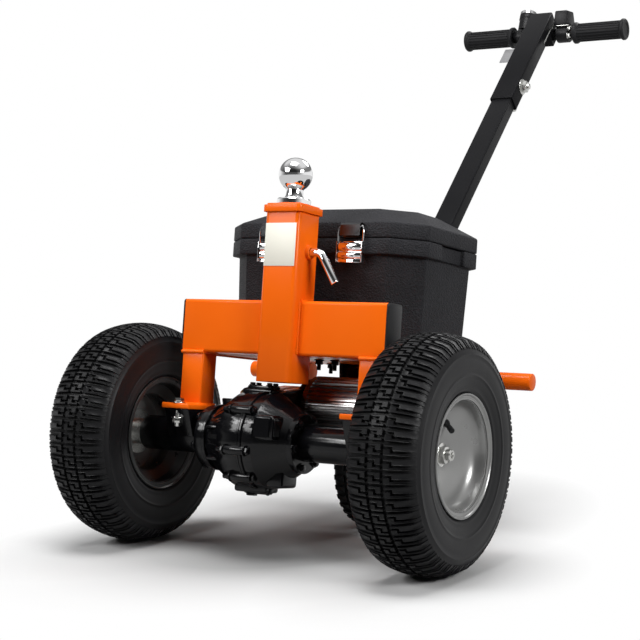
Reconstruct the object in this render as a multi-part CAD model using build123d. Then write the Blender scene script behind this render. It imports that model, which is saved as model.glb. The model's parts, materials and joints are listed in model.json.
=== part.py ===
from build123d import *
import math
import os

# Electric trailer dolly: two driven turf wheels, a tow ball on a short mast, a battery box,
# a telescopic handle and a swivel wheel at the back.
# Millimetres, X along the axle, Y to the back, Z up, the floor at Z = 0.

# Stance
LEAN_ANGLE = 7.0  # the chassis leans back about the axle
TYRE_ROOM = 26.0  # between the crossbar's end and the tyre
FIT = 0.3  # gap between pieces that sit together
RUNNING_FIT = 0.05  # gap round a turning shaft

# Drive wheels
TYRE_RADIUS = 168.0
TYRE_SECTION = [(54.0, 44.0), (50.0, 17.0), (33.0, 0.0)]  # half width, drop below the crown
RIM_WIDTH = 98.0  # lip to lip
RIM_LIP_RADIUS = 86.0
RIM_SEAT_RADIUS = 76.0
RIM_WELL_RADIUS = 62.0
RIM_SEAT = 18.0  # width of a bead's seat
RIM_SLOPE = 9.0
RIM_WALL = 3.0
DISC_FACE = 20.0  # outer face of the disc, outboard of the middle plane
DISC_WALL = 4.0
HUB_FLANGE_RADIUS = 34.0
HUB_FLANGE = 8.0
HUB_RADIUS = 20.0
HUB_NUT = 10.0
HUB_NUT_RADIUS = 12.0
STUB_RADIUS = 11.0

# Axle and drive
AXLE_RADIUS = 26.0
AXLE_END = 20.0  # end of the axle tube, inboard of the wheel's middle plane
HALF_SHAFT_RADIUS = 14.0
HALF_SHAFT_SEAT = 50.0  # half shaft inside the axle tube
HUB_GAP = 3.0
CASE_ROOM = 15.5  # between the case's left end and the saddle
CASE_RIGHT_SHARE = 0.4275  # of the case's reach to the left
CASE_SPLIT_SHARE = 0.188
CASE_RADIUS = 70.0
CASE_NECK_RADIUS = 38.0
CASE_FLANGE_RADIUS = 47.0
CASE_FLANGE_STEP = 4.0
CASE_FLANGE = 16.0
CASE_CONE_LEFT = 44.0  # run from the flange to the full radius
CASE_CONE_RIGHT = 51.0  # run from the full radius to the neck
GEAR_HOUSING_RADIUS = 34.0
MOTOR_NECK_RADIUS = 46.0
DRAIN_SET = 17.0  # from the split
DRAIN_RADIUS = 8.0
DRAIN_DEPTH = 5.0
MOTOR_LEFT = 4.0
MOTOR_NECK = 14.0
MOTOR_RADIUS = 51.0
MOTOR_BACK = 100.0  # motor axis behind the axle, along the chassis
MOTOR_UP = 50.0  # motor axis above the axle, square to the chassis
MOTOR_LENGTH = 100.0
MOTOR_FLANGE = 8.0
MOTOR_CAP = 12.0
FIN_DEPTH = 3.5
FIN_COUNT = 40

# Mast, crossbar and legs, in the leaning chassis
MAST_SIZE = 60.0
MAST_WALL = 4.0
MAST_CORNER = 8.0
MAST_FRONT = -28.0
MAST_BOTTOM = 86.0
MAST_TOP = 335.0
CAP_SIZE = 67.0
CAP_THICKNESS = 10.0
SEAT_SIZE = 56.0
SEAT_THICKNESS = 3.0
BALL_RADIUS = 25.4
BALL_RISE = 45.5  # ball's centre above its seat
BALL_FLANGE_RADIUS = 25.5
BALL_FLANGE = 9.0
BALL_NECK_RADIUS = 13.0
PIN_RADIUS = 6.0
PIN_HEIGHT = 278.0
PIN_OUT = 22.0
PIN_DROP = 45.0
PIN_SPREAD = 28.0
PIN_BEND = 14.0
PIN_BOSS_RADIUS = 10.0
PIN_BOSS = 6.0
BAR_HALF = 175.0
BAR_HEIGHT = 80.0
BAR_DEPTH = 40.0
BAR_FRONT = -12.0
BAR_BOTTOM = 126.0
BAR_WALL = 4.0
BAR_CORNER = 5.0
PLUG_FACE = 3.0
PLUG_DEPTH = 18.0
LEG_WIDTH = 39.0
LEG_DEPTH = 36.0
LEG_WALL = 3.0
LEG_INSET = 1.0  # from the crossbar's end
FOOT_WIDTH = 50.0
FOOT_LENGTH = 96.0
FOOT_THICKNESS = 8.0
FOOT_TOP = 47.0
SADDLE_WIDTH = 44.0
SADDLE_LENGTH = 90.0
SADDLE_DROP = 2.0  # how far the saddle reaches below the axle's middle

# Tray, lift bar and battery box
TRAY_INSET = 10.0  # from the crossbar's end
TRAY_THICKNESS = 4.0
TRAY_LIP = 1.0  # behind the box
TRAY_FLANGE = 3.0
CROSS_TUBE_RADIUS = 16.0  # welded under the tray's back edge
CROSS_TUBE_OUT = 10.0  # behind the tray's edge
CROSS_TUBE_HALF = 50.0
LIFT_BAR_RADIUS = 13.5
LIFT_BAR_HALF = 260.0
LIFT_BAR_SEAT = 24.0  # under the tray's corner
BOX_HALF = 168.0
BOX_DRAFT = 6.0  # the base is drawn in by this
BOX_TOP = 307.0
BOX_WALL = 4.0
BAND_HEIGHT = 24.0
BAND_OUT = 7.0  # band and lid stand this far proud of the box
BAND_CORNER = 80.0  # length of a corner block along the side
BOX_FRONT = 68.0
BOX_DEPTH = 234.0
BOX_CHAMFER = 43.0
LID_GAP = 0.5
LID_BAND = 23.0
LID_CROWN = 27.0
LID_CROWN_INSET = 48.0
LID_WALL = 4.0
HINGE_X = 95.0
HINGE_LENGTH = 40.0
HINGE_OUT = 6.0
HINGE_RADIUS = 5.0
HINGE_PIN_RADIUS = 3.0
HINGE_LEAF = 3.0
HINGE_LEAF_HEIGHT = 20.0
LATCH_X = 70.0
LATCH_WIDTH = 44.0
LATCH_BASE = 3.0
LATCH_BASE_BOTTOM = 37.0  # below the lid's seam
LATCH_BASE_TOP = 6.0
LATCH_STAND = 5.0
LATCH_PLATE = 3.0
LATCH_REACH = 17.0  # above the lid's seam
KEEPER_WIDTH = 28.0
KEEPER_BOTTOM = 6.0
KEEPER_HEIGHT = 14.0
BATTERY_SIDE_ROOM = 17.5  # to the box's left wall
BATTERY_END_ROOM = 39.5  # to the box's front and back
BATTERY_WIDTH = 181.0
BATTERY_HEIGHT = 167.0

# Handle, along its own axis from its foot
HANDLE_ANGLE = 45.8  # from upright
HANDLE_FOOT_BACK = 23.0  # behind the tray's edge
HANDLE_FOOT_UP = 45.6  # above the tray
TUBE_WIDTH = 40.0
TUBE_DEPTH = 25.0
TUBE_WALL = 2.5
TUBE_CORNER = 3.0
SLIDE_ROOM = 97.0  # from the tube's end to the bar's clamp
SLEEVE_FIT = 0.5
SLEEVE_WALL = 2.5
SLEEVE_LENGTH = 261.0
SLEEVE_END = 861.0
NOTCH_LENGTH = 72.0
NOTCH_DEPTH = 12.0
KNOB_RISE = 49.0  # above the sleeve's lower end
KNOB_RADIUS = 13.0
KNOB_LENGTH = 16.0
CHEEK_THICKNESS = 5.0
CHEEK_RISE = 78.0
WEB_THICKNESS = 4.0
GRIP_BAR_RADIUS = 11.0
GRIP_BAR_DOWN = 17.0  # below the sleeve's top
GRIP_INNER = 63.0  # inner end of a grip, from the middle
CLAMP_HALF = 20.0
CLAMP_LENGTH = 34.0
CLAMP_WALL = 4.0
GRIP_RADIUS = 18.0
GRIP_FLANGE_RADIUS = 21.0
GRIP_FLANGE = 9.0
GRIP_LENGTH = 106.0
GRIP_END = 3.0
POD_X = -43.0
POD_WIDTH = 22.0
POD_RING_RADIUS = 17.0
POD_RADIUS = 17.5
POD_HEIGHT = 54.0
POD_TILT = 25.0
SWITCH_X = 41.5
SWITCH_RING = 24.0
SWITCH_HEIGHT = 44.0
SWITCH_BASE = 32.0
SWITCH_TOP = 25.0
SWITCH_DEPTH = 36.0
PLATE_OUT = 64.0
PLATE_IN = 15.0
PLATE_DOWN = 109.0  # below the sleeve's top
PLATE_HEIGHT = 40.0
PLATE_THICKNESS = 2.0

# Swivel wheel
SWIVEL_SET = 43.0  # before the tray's back edge
SWIVEL_TRAIL = 30.0
CASTER_RADIUS = 100.0
CASTER_HALF = 23.0
CASTER_RIM_RADIUS = 66.0
CASTER_RIM_WIDTH = 40.0
CASTER_RIM_WALL = 4.0
CASTER_HUB_RADIUS = 18.0
CASTER_AXLE_RADIUS = 6.0
FORK_GAP = 8.0
FORK_PLATE = 5.0
FORK_CLEARANCE = 9.0  # above the wheel
FORK_CROWN = 8.0
FORK_CROWN_HALF = 32.0
FORK_EYE_RADIUS = 16.0
STEM_RADIUS = 12.0
STEM_LENGTH = 20.0
BEARING_RADIUS = 29.0
BEARING_GAP = 2.0
BEARING_HEIGHT = 14.0
MOUNT_HALF = 32.0
MOUNT_LENGTH = 62.0
MOUNT_PLATE = 6.0

# Places that follow from the sizes
LEAN = math.radians(LEAN_ANGLE)
TRAY_HALF = BAR_HALF - TRAY_INSET
LEG_OUT = BAR_HALF - LEG_INSET
LEG_MIDDLE = LEG_OUT - LEG_WIDTH / 2
CASE_LEFT = CASE_ROOM + SADDLE_WIDTH / 2 - LEG_MIDDLE
CASE_RIGHT = -CASE_LEFT * CASE_RIGHT_SHARE
CASE_SPLIT = CASE_LEFT * CASE_SPLIT_SHARE
TRAY_TOP = BAR_BOTTOM + TRAY_THICKNESS
BOX_BACK = BOX_FRONT + BOX_DEPTH
TRAY_BACK = BOX_BACK + TRAY_LIP
CROSS_TUBE_BACK = TRAY_BACK + CROSS_TUBE_OUT
CROSS_TUBE_UP = BAR_BOTTOM - math.sqrt(CROSS_TUBE_RADIUS**2 - CROSS_TUBE_OUT**2)
FOOT_Y = TRAY_BACK + HANDLE_FOOT_BACK
FOOT_Z = TRAY_TOP + HANDLE_FOOT_UP
SLEEVE_START = SLEEVE_END - SLEEVE_LENGTH
GRIP_OUTER = GRIP_INNER + GRIP_LENGTH
GRIP_BAR_HALF = GRIP_OUTER - GRIP_END
GRIP_BAR_ALONG = SLEEVE_END - GRIP_BAR_DOWN
TUBE_LENGTH = GRIP_BAR_ALONG - CLAMP_LENGTH / 2 - SLIDE_ROOM
HANDLE_BASE = FOOT_Y * math.cos(LEAN) + FOOT_Z * math.sin(LEAN)
FRAME_BACK = HANDLE_BASE + GRIP_BAR_ALONG * math.sin(math.radians(HANDLE_ANGLE))
SLEEVE_WIDTH = TUBE_WIDTH + 2 * (SLEEVE_FIT + SLEEVE_WALL)
SLEEVE_DEPTH = TUBE_DEPTH + 2 * (SLEEVE_FIT + SLEEVE_WALL)
GRIP_BAR_DROP = SLEEVE_DEPTH / 2 + GRIP_BAR_RADIUS
GRIP_BAR_Y = FRAME_BACK + GRIP_BAR_DROP * math.cos(math.radians(HANDLE_ANGLE))
POD_LEAN = math.radians(POD_TILT)
POD_REACH = POD_HEIGHT * math.sin(POD_LEAN) + POD_RADIUS * math.cos(POD_LEAN)
MIDDLE_Y = (GRIP_BAR_Y + max(GRIP_FLANGE_RADIUS, POD_REACH) - TYRE_RADIUS) / 2
MAST_MIDDLE = MAST_FRONT + MAST_SIZE / 2
MAST_BACK = MAST_FRONT + MAST_SIZE
BAR_BACK = BAR_FRONT + BAR_DEPTH
LID_BOTTOM = BOX_TOP + LID_GAP
LID_SHOULDER = LID_BOTTOM + LID_BAND
HINGE_Y = BOX_BACK + BAND_OUT + HINGE_OUT
HINGE_Z = BOX_TOP + LID_GAP / 2
SEAT_TOP = MAST_TOP + CAP_THICKNESS + SEAT_THICKNESS
HALF_TRACK = BAR_HALF + TYRE_ROOM + TYRE_SECTION[0][0]
TUBE_END = HALF_TRACK - AXLE_END
SWIVEL_Y = TRAY_BACK - SWIVEL_SET
CASTER_Y = SWIVEL_Y + SWIVEL_TRAIL
CROWN_BOTTOM = 2 * CASTER_RADIUS + FORK_CLEARANCE
CROWN_TOP = CROWN_BOTTOM + FORK_CROWN
BEARING_BOTTOM = CROWN_TOP + BEARING_GAP
MOUNT_BOTTOM = BEARING_BOTTOM + BEARING_HEIGHT
FORK_INNER = CASTER_HALF + FORK_GAP

FRAME = Pos(0, -MIDDLE_Y, 0)
CHASSIS = FRAME * Pos(0, 0, TYRE_RADIUS) * Rot(-LEAN_ANGLE, 0, 0)
HANDLE = CHASSIS * Pos(0, FOOT_Y, FOOT_Z) * Rot(LEAN_ANGLE - HANDLE_ANGLE, 0, 0)
SIDES = {"left": -1, "right": 1}


def save(name, place, shape):
    """Place a piece and write it as one node."""
    placed = place * shape
    placed.label = name
    export_step(placed, f"parts/{name}.step")


def block(x0, x1, y0, y1, z0, z1):
    """A box between two corners."""
    middle = Pos((x0 + x1) / 2, (y0 + y1) / 2, (z0 + z1) / 2)
    return middle * Box(abs(x1 - x0), abs(y1 - y0), abs(z1 - z0))


def rod(radius, x0, x1, y=0.0, z=0.0):
    """A round bar along X."""
    return Pos((x0 + x1) / 2, y, z) * Rot(0, 90, 0) * Cylinder(radius, abs(x1 - x0))


def post(radius, z0, z1, x=0.0, y=0.0):
    """A round bar along Z."""
    return Pos(x, y, (z0 + z1) / 2) * Cylinder(radius, z1 - z0)


def turned(points):
    """A solid turned about X from points of (x, radius)."""
    return revolve(Face(Wire.make_polygon(points, close=True)), Axis.X)


def side_plate(points, x0, x1):
    """A flat plate with an outline of (y, z) points, between two x places."""
    face = Face(Wire.make_polygon([(x0, y, z) for y, z in points], close=True))
    return extrude(face, amount=x1 - x0, dir=(1, 0, 0))


def square_tube(width, depth, length, wall, corner):
    """A tube standing on Z = 0 with round corners outside and in."""
    outside = RectangleRounded(width, depth, corner)
    bore = RectangleRounded(width - 2 * wall, depth - 2 * wall, max(corner - wall, wall / 4))
    return extrude(outside - bore, amount=length)


def mirrored(shape, side):
    """A right-hand shape, or its left-hand twin."""
    return shape if side > 0 else mirror(shape, about=Plane.YZ)


def tyre(radius, bead, lip, lip_half, section):
    """A tyre turned about X, its side walls just clear of the rim's lips."""
    side = [(half, radius - drop) for half, drop in section]
    wide, wide_radius = side[0]
    slope = (wide - lip_half) / (wide_radius - lip)
    right = [(lip_half - slope * (lip - bead), bead)] + side
    left = [(-x, r) for x, r in reversed(right)]
    return turned(right + left)


def octagon(half, front, back, chamfer, z):
    """A rectangle with cut corners, at one height."""
    outline = [
        (half - chamfer, front),
        (half, front + chamfer),
        (half, back - chamfer),
        (half - chamfer, back),
        (chamfer - half, back),
        (-half, back - chamfer),
        (-half, front + chamfer),
        (chamfer - half, front),
    ]
    return Face(Wire.make_polygon([(x, y, z) for x, y in outline], close=True))


def box_section(z, grow):
    """The battery box's outline at one height, drawn in to its base and grown by a wall."""
    up = (z - TRAY_TOP) / (BOX_TOP - TRAY_TOP)
    draw_in = (1 - up) * BOX_DRAFT - grow
    return octagon(BOX_HALF - draw_in, BOX_FRONT + draw_in, BOX_BACK - draw_in, BOX_CHAMFER, z)


def lid_section(z, inset):
    """The lid's outline at one height, inset from the band."""
    reach = BAND_OUT - inset
    return octagon(BOX_HALF + reach, BOX_FRONT - reach, BOX_BACK + reach, BOX_CHAMFER, z)


def drive_wheels():
    seat = RIM_WIDTH / 2 - RIM_WALL
    slope_top = seat - RIM_SEAT
    slope_end = slope_top - RIM_SLOPE
    lip_half = RIM_WIDTH / 2
    in_seat = RIM_SEAT_RADIUS - RIM_WALL
    in_well = RIM_WELL_RADIUS - RIM_WALL
    half_rim = [
        (lip_half, RIM_LIP_RADIUS),
        (seat, RIM_LIP_RADIUS),
        (seat, RIM_SEAT_RADIUS),
        (slope_top, RIM_SEAT_RADIUS),
        (slope_end, RIM_WELL_RADIUS),
    ]
    half_bore = [
        (slope_end, in_well),
        (slope_top, in_seat),
        (lip_half, in_seat),
    ]
    left_rim = [(-x, r) for x, r in reversed(half_rim)]
    left_bore = [(-x, r) for x, r in reversed(half_bore)]
    rim = turned(half_rim + left_rim + left_bore + half_bore)
    disc_back = DISC_FACE - DISC_WALL
    rim += rod(in_well + RIM_WALL / 2, disc_back, DISC_FACE)
    rim -= rod(STUB_RADIUS + FIT, disc_back, DISC_FACE)
    bead, lip = RIM_SEAT_RADIUS + FIT, RIM_LIP_RADIUS + FIT
    tyre_ring = tyre(TYRE_RADIUS, bead, lip, seat - FIT, TYRE_SECTION)
    hub_start = HUB_GAP - AXLE_END
    hub = rod(HALF_SHAFT_RADIUS, -AXLE_END - HALF_SHAFT_SEAT, hub_start)
    hub += rod(HUB_RADIUS, hub_start, disc_back)
    hub += rod(HUB_FLANGE_RADIUS, disc_back - HUB_FLANGE, disc_back)
    hub += rod(STUB_RADIUS, disc_back, DISC_FACE)
    nut = Rot(0, 90, 0) * extrude(RegularPolygon(HUB_NUT_RADIUS, 6), HUB_NUT)
    hub += Pos(DISC_FACE, 0, 0) * nut
    for name, side in SIDES.items():
        place = FRAME * Pos(side * HALF_TRACK, 0, TYRE_RADIUS)
        save(f"tyre_{name}", place, mirrored(tyre_ring, side))
        save(f"rim_{name}", place, mirrored(rim, side))
        save(f"hub_{name}", place, mirrored(hub, side))


def drive_unit():
    bore_start = TUBE_END - HALF_SHAFT_SEAT - FIT
    ends = {"left": -CASE_LEFT, "right": CASE_RIGHT}
    for name, side in SIDES.items():
        tube = rod(AXLE_RADIUS, ends[name], TUBE_END)
        tube -= rod(HALF_SHAFT_RADIUS + RUNNING_FIT, bore_start, TUBE_END)
        save(f"axle_tube_{name}", CHASSIS, mirrored(tube, side))
    flange_end = CASE_LEFT + CASE_FLANGE
    left_shell = turned([
        (CASE_LEFT, 0),
        (CASE_LEFT, CASE_FLANGE_RADIUS),
        (flange_end, CASE_FLANGE_RADIUS),
        (flange_end, CASE_FLANGE_RADIUS - CASE_FLANGE_STEP),
        (flange_end + CASE_CONE_LEFT, CASE_RADIUS),
        (CASE_SPLIT, CASE_RADIUS),
        (CASE_SPLIT, 0),
    ])
    right_shell = turned([
        (CASE_SPLIT, 0),
        (CASE_SPLIT, CASE_RADIUS),
        (CASE_RIGHT - CASE_CONE_RIGHT, CASE_RADIUS),
        (CASE_RIGHT, CASE_NECK_RADIUS),
        (CASE_RIGHT, 0),
    ])
    axle_circle = Circle(CASE_RADIUS)
    motor_circle = Pos(MOTOR_BACK, MOTOR_UP) * Circle(GEAR_HOUSING_RADIUS)
    housing = Plane.YZ * make_hull(axle_circle.edges() + motor_circle.edges())
    housing_left = flange_end + CASE_CONE_LEFT
    left_shell += Pos(housing_left, 0, 0) * extrude(housing, CASE_SPLIT - housing_left)
    left_shell += post(DRAIN_RADIUS, -CASE_RADIUS - DRAIN_DEPTH, 0, CASE_SPLIT - DRAIN_SET)
    right_housing = extrude(housing, CASE_RIGHT - CASE_CONE_RIGHT - CASE_SPLIT)
    neck_left = MOTOR_LEFT - MOTOR_NECK
    motor_neck = rod(MOTOR_NECK_RADIUS, neck_left, MOTOR_LEFT, MOTOR_BACK, MOTOR_UP)
    right_shell += Pos(CASE_SPLIT, 0, 0) * right_housing + motor_neck
    right_shell -= rod(MOTOR_RADIUS + FIT, MOTOR_LEFT, CASE_RIGHT, MOTOR_BACK, MOTOR_UP)
    save("gear_case_left", CHASSIS, left_shell)
    save("gear_case_right", CHASSIS, right_shell)
    fins_left = MOTOR_LEFT + MOTOR_FLANGE
    motor_end = fins_left + MOTOR_LENGTH
    fin_points = []
    for i in range(2 * FIN_COUNT):
        reach = MOTOR_RADIUS - FIN_DEPTH * (i % 2)
        for edge in (-0.25, 0.25):
            angle = math.pi * (i + edge) / FIN_COUNT
            fin_points.append((reach * math.cos(angle), reach * math.sin(angle)))
    fins = [(MOTOR_BACK + y, MOTOR_UP + z) for y, z in fin_points]
    motor = side_plate(fins, fins_left, motor_end)
    motor += rod(MOTOR_RADIUS, MOTOR_LEFT, fins_left, MOTOR_BACK, MOTOR_UP)
    save("drive_motor", CHASSIS, motor)
    cap = rod(MOTOR_RADIUS, motor_end, motor_end + MOTOR_CAP, MOTOR_BACK, MOTOR_UP)
    save("motor_cap", CHASSIS, fillet(cap.edges().group_by(Axis.X)[-1], MOTOR_CAP / 3))


def mast():
    tube = square_tube(MAST_SIZE, MAST_SIZE, MAST_TOP - MAST_BOTTOM, MAST_WALL, MAST_CORNER)
    tube = Pos(0, MAST_MIDDLE, MAST_BOTTOM) * tube
    face = MAST_SIZE / 2
    tube += rod(PIN_BOSS_RADIUS, face, face + PIN_BOSS, MAST_MIDDLE, PIN_HEIGHT)
    tube -= rod(PIN_RADIUS + FIT, face, face + PIN_BOSS, MAST_MIDDLE, PIN_HEIGHT)
    save("mast", CHASSIS, tube)
    cap_blank = RectangleRounded(CAP_SIZE, CAP_SIZE, MAST_CORNER)
    cap = Pos(0, MAST_MIDDLE, MAST_TOP) * extrude(cap_blank, CAP_THICKNESS)
    half_seat = SEAT_SIZE / 2
    front, back = MAST_MIDDLE - half_seat, MAST_MIDDLE + half_seat
    cap += block(-half_seat, half_seat, front, back, MAST_TOP + CAP_THICKNESS, SEAT_TOP)
    save("mast_cap", CHASSIS, cap)
    ball = post(BALL_FLANGE_RADIUS, SEAT_TOP, SEAT_TOP + BALL_FLANGE)
    ball += post(BALL_NECK_RADIUS, SEAT_TOP, SEAT_TOP + BALL_RISE)
    ball += Pos(0, 0, SEAT_TOP + BALL_RISE) * Sphere(BALL_RADIUS)
    save("tow_ball", CHASSIS * Pos(0, MAST_MIDDLE, 0), ball)
    bend = (face + PIN_OUT, MAST_MIDDLE, PIN_HEIGHT)
    tip = (face + PIN_OUT + PIN_SPREAD, MAST_MIDDLE, PIN_HEIGHT - PIN_DROP)
    path = FilletPolyline((face, MAST_MIDDLE, PIN_HEIGHT), bend, tip, radius=PIN_BEND)
    section = Plane(path @ 0, z_dir=path % 0) * Circle(PIN_RADIUS)
    save("hitch_pin", CHASSIS, sweep(section, path))


def crossbar():
    start = MAST_SIZE / 2
    middle = BAR_FRONT + BAR_DEPTH / 2
    height = BAR_BOTTOM + BAR_HEIGHT / 2
    tube = square_tube(BAR_HEIGHT, BAR_DEPTH, BAR_HALF - start, BAR_WALL, BAR_CORNER)
    tube = Pos(start, middle, height) * Rot(0, 90, 0) * tube
    plug_height = BAR_HEIGHT - 2 * (BAR_WALL + FIT)
    plug_width = BAR_DEPTH - 2 * (BAR_WALL + FIT)
    plug = Box(PLUG_DEPTH, plug_width, plug_height)
    plug = Pos(BAR_HALF - PLUG_DEPTH / 2, middle, height) * plug
    face = RectangleRounded(BAR_HEIGHT, BAR_DEPTH, BAR_CORNER)
    plug += Pos(BAR_HALF, middle, height) * Rot(0, 90, 0) * extrude(face, PLUG_FACE)
    leg = square_tube(LEG_WIDTH, LEG_DEPTH, BAR_BOTTOM - FOOT_TOP, LEG_WALL, LEG_WALL)
    leg = Pos(LEG_MIDDLE, BAR_FRONT + LEG_DEPTH / 2, FOOT_TOP) * leg
    foot_bottom = FOOT_TOP - FOOT_THICKNESS
    foot = block(
        LEG_MIDDLE - FOOT_WIDTH / 2, LEG_MIDDLE + FOOT_WIDTH / 2,
        -FOOT_LENGTH / 2, FOOT_LENGTH / 2, foot_bottom, FOOT_TOP,
    )
    half_top = SADDLE_LENGTH / 2
    half_low = AXLE_RADIUS + SADDLE_DROP
    saddle_outline = [
        (-half_top, foot_bottom),
        (half_top, foot_bottom),
        (half_low, -SADDLE_DROP),
        (-half_low, -SADDLE_DROP),
    ]
    saddle_in = LEG_MIDDLE - SADDLE_WIDTH / 2
    saddle_out = LEG_MIDDLE + SADDLE_WIDTH / 2
    saddle = side_plate(saddle_outline, saddle_in, saddle_out)
    saddle -= rod(AXLE_RADIUS + FIT, saddle_in, saddle_out)
    for name, side in SIDES.items():
        save(f"crossbar_{name}", CHASSIS, mirrored(tube, side))
        save(f"crossbar_plug_{name}", CHASSIS, mirrored(plug, side))
        save(f"leg_{name}", CHASSIS, mirrored(leg, side))
        save(f"foot_plate_{name}", CHASSIS, mirrored(foot, side))
        save(f"axle_saddle_{name}", CHASSIS, mirrored(saddle, side))


def tray():
    plate = block(-TRAY_HALF, TRAY_HALF, BAR_BACK, TRAY_BACK, BAR_BOTTOM, TRAY_TOP)
    half_mast = MAST_SIZE / 2
    plate -= block(-half_mast, half_mast, BAR_BACK, MAST_BACK, BAR_BOTTOM, TRAY_TOP)
    for side in SIDES.values():
        edge = side * TRAY_HALF
        inner = side * (TRAY_HALF - TRAY_THICKNESS)
        plate += block(inner, edge, BAR_BACK, TRAY_BACK, BAR_BOTTOM - TRAY_FLANGE, TRAY_TOP)
    seat = rod(CROSS_TUBE_RADIUS + FIT, -TRAY_HALF, TRAY_HALF, CROSS_TUBE_BACK, CROSS_TUBE_UP)
    save("tray", CHASSIS, plate - seat)
    tube = rod(CROSS_TUBE_RADIUS, -CROSS_TUBE_HALF, CROSS_TUBE_HALF, CROSS_TUBE_BACK, CROSS_TUBE_UP)
    save("cross_tube", CHASSIS, tube)
    bar_root = TRAY_HALF - LIFT_BAR_SEAT
    bar = rod(CROSS_TUBE_RADIUS, bar_root, TRAY_HALF, CROSS_TUBE_BACK, CROSS_TUBE_UP)
    bar += rod(LIFT_BAR_RADIUS, TRAY_HALF, LIFT_BAR_HALF, CROSS_TUBE_BACK, CROSS_TUBE_UP)
    for name, side in SIDES.items():
        save(f"lift_bar_{name}", CHASSIS, mirrored(bar, side))


def battery_box():
    floor = TRAY_TOP + BOX_WALL
    shell = loft([box_section(TRAY_TOP, 0), box_section(BOX_TOP, 0)])
    band_bottom = BOX_TOP - BAND_HEIGHT
    band = extrude(lid_section(band_bottom, 0), BAND_HEIGHT)
    for side in SIDES.values():
        gap_front = BOX_FRONT + BAND_CORNER
        gap_back = BOX_BACK - BAND_CORNER
        outside = side * (BOX_HALF + BAND_OUT)
        band -= block(side * BOX_HALF, outside, gap_front, gap_back, band_bottom, BOX_TOP)
    shell += band
    shell -= loft([box_section(floor, -BOX_WALL), box_section(BOX_TOP, -BOX_WALL)])
    save("box_body", CHASSIS, shell)
    battery_left = BATTERY_SIDE_ROOM + BOX_WALL + BOX_DRAFT - BOX_HALF
    battery = block(
        battery_left, battery_left + BATTERY_WIDTH,
        BOX_FRONT + BATTERY_END_ROOM, BOX_BACK - BATTERY_END_ROOM, floor, floor + BATTERY_HEIGHT,
    )
    save("battery_block", CHASSIS, battery)


def box_lid():
    top = LID_SHOULDER + LID_CROWN
    lid = extrude(lid_section(LID_BOTTOM, 0), LID_BAND)
    lid += loft([lid_section(LID_SHOULDER, 0), lid_section(top, LID_CROWN_INSET)])
    inside_crown = LID_CROWN_INSET + LID_WALL
    inside = extrude(lid_section(LID_BOTTOM, BAND_OUT + BOX_WALL), LID_BAND - LID_WALL)
    inside += loft([
        lid_section(LID_SHOULDER - LID_WALL, BAND_OUT + BOX_WALL),
        lid_section(top - LID_WALL, inside_crown),
    ])
    save("box_lid", CHASSIS, lid - inside)


def hinges_and_latches():
    band_back = BOX_BACK + BAND_OUT
    leaf_back = band_back + HINGE_LEAF
    half = HINGE_LENGTH / 2
    gap = FIT / 2
    fixed_half, lid_half = Part(), Part()
    for side in SIDES.values():
        middle = side * HINGE_X
        start, end = middle - half, middle + half
        knuckle = rod(HINGE_RADIUS, start, middle - gap, HINGE_Y, HINGE_Z)
        leaf_low = HINGE_Z - HINGE_LEAF_HEIGHT
        knuckle += block(start, middle - gap, band_back, leaf_back, leaf_low, HINGE_Z)
        knuckle += block(start, middle - gap, band_back, HINGE_Y, HINGE_Z - HINGE_RADIUS, HINGE_Z)
        fixed_half += knuckle + rod(HINGE_PIN_RADIUS, start, end, HINGE_Y, HINGE_Z)
        cover = rod(HINGE_RADIUS, middle + gap, end, HINGE_Y, HINGE_Z)
        leaf_low = HINGE_Z + LID_GAP
        leaf_high = HINGE_Z + HINGE_LEAF_HEIGHT
        cover += block(middle + gap, end, band_back, leaf_back, leaf_low, leaf_high)
        cover += block(middle + gap, end, band_back, HINGE_Y, leaf_low, HINGE_Z + HINGE_RADIUS)
        lid_half += cover - rod(HINGE_PIN_RADIUS + RUNNING_FIT, start, end, HINGE_Y, HINGE_Z)
    save("hinge_leaves", CHASSIS, fixed_half)
    save("lid_hinge_leaves", CHASSIS, lid_half)
    face = BOX_FRONT - BAND_OUT
    base_face = face - LATCH_BASE
    plate_back = base_face - LATCH_STAND
    seam = BOX_TOP
    half = LATCH_WIDTH / 2
    low, high = seam - LATCH_BASE_BOTTOM, seam - LATCH_BASE_TOP
    keepers = Part()
    for name, side in SIDES.items():
        x = side * LATCH_X
        latch = block(x - half, x + half, base_face, face, low, high)
        latch += block(x - half / 2, x + half / 2, plate_back, base_face, low, high)
        plate_front = plate_back - LATCH_PLATE
        latch += block(x - half, x + half, plate_front, plate_back, low, seam + LATCH_REACH)
        save(f"latch_{name}", CHASSIS, latch)
        keeper_low = seam + KEEPER_BOTTOM
        half_keeper = KEEPER_WIDTH / 2
        keepers += block(
            x - half_keeper, x + half_keeper, base_face, face, keeper_low, keeper_low + KEEPER_HEIGHT
        )
    save("latch_keepers", CHASSIS, keepers)


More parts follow.
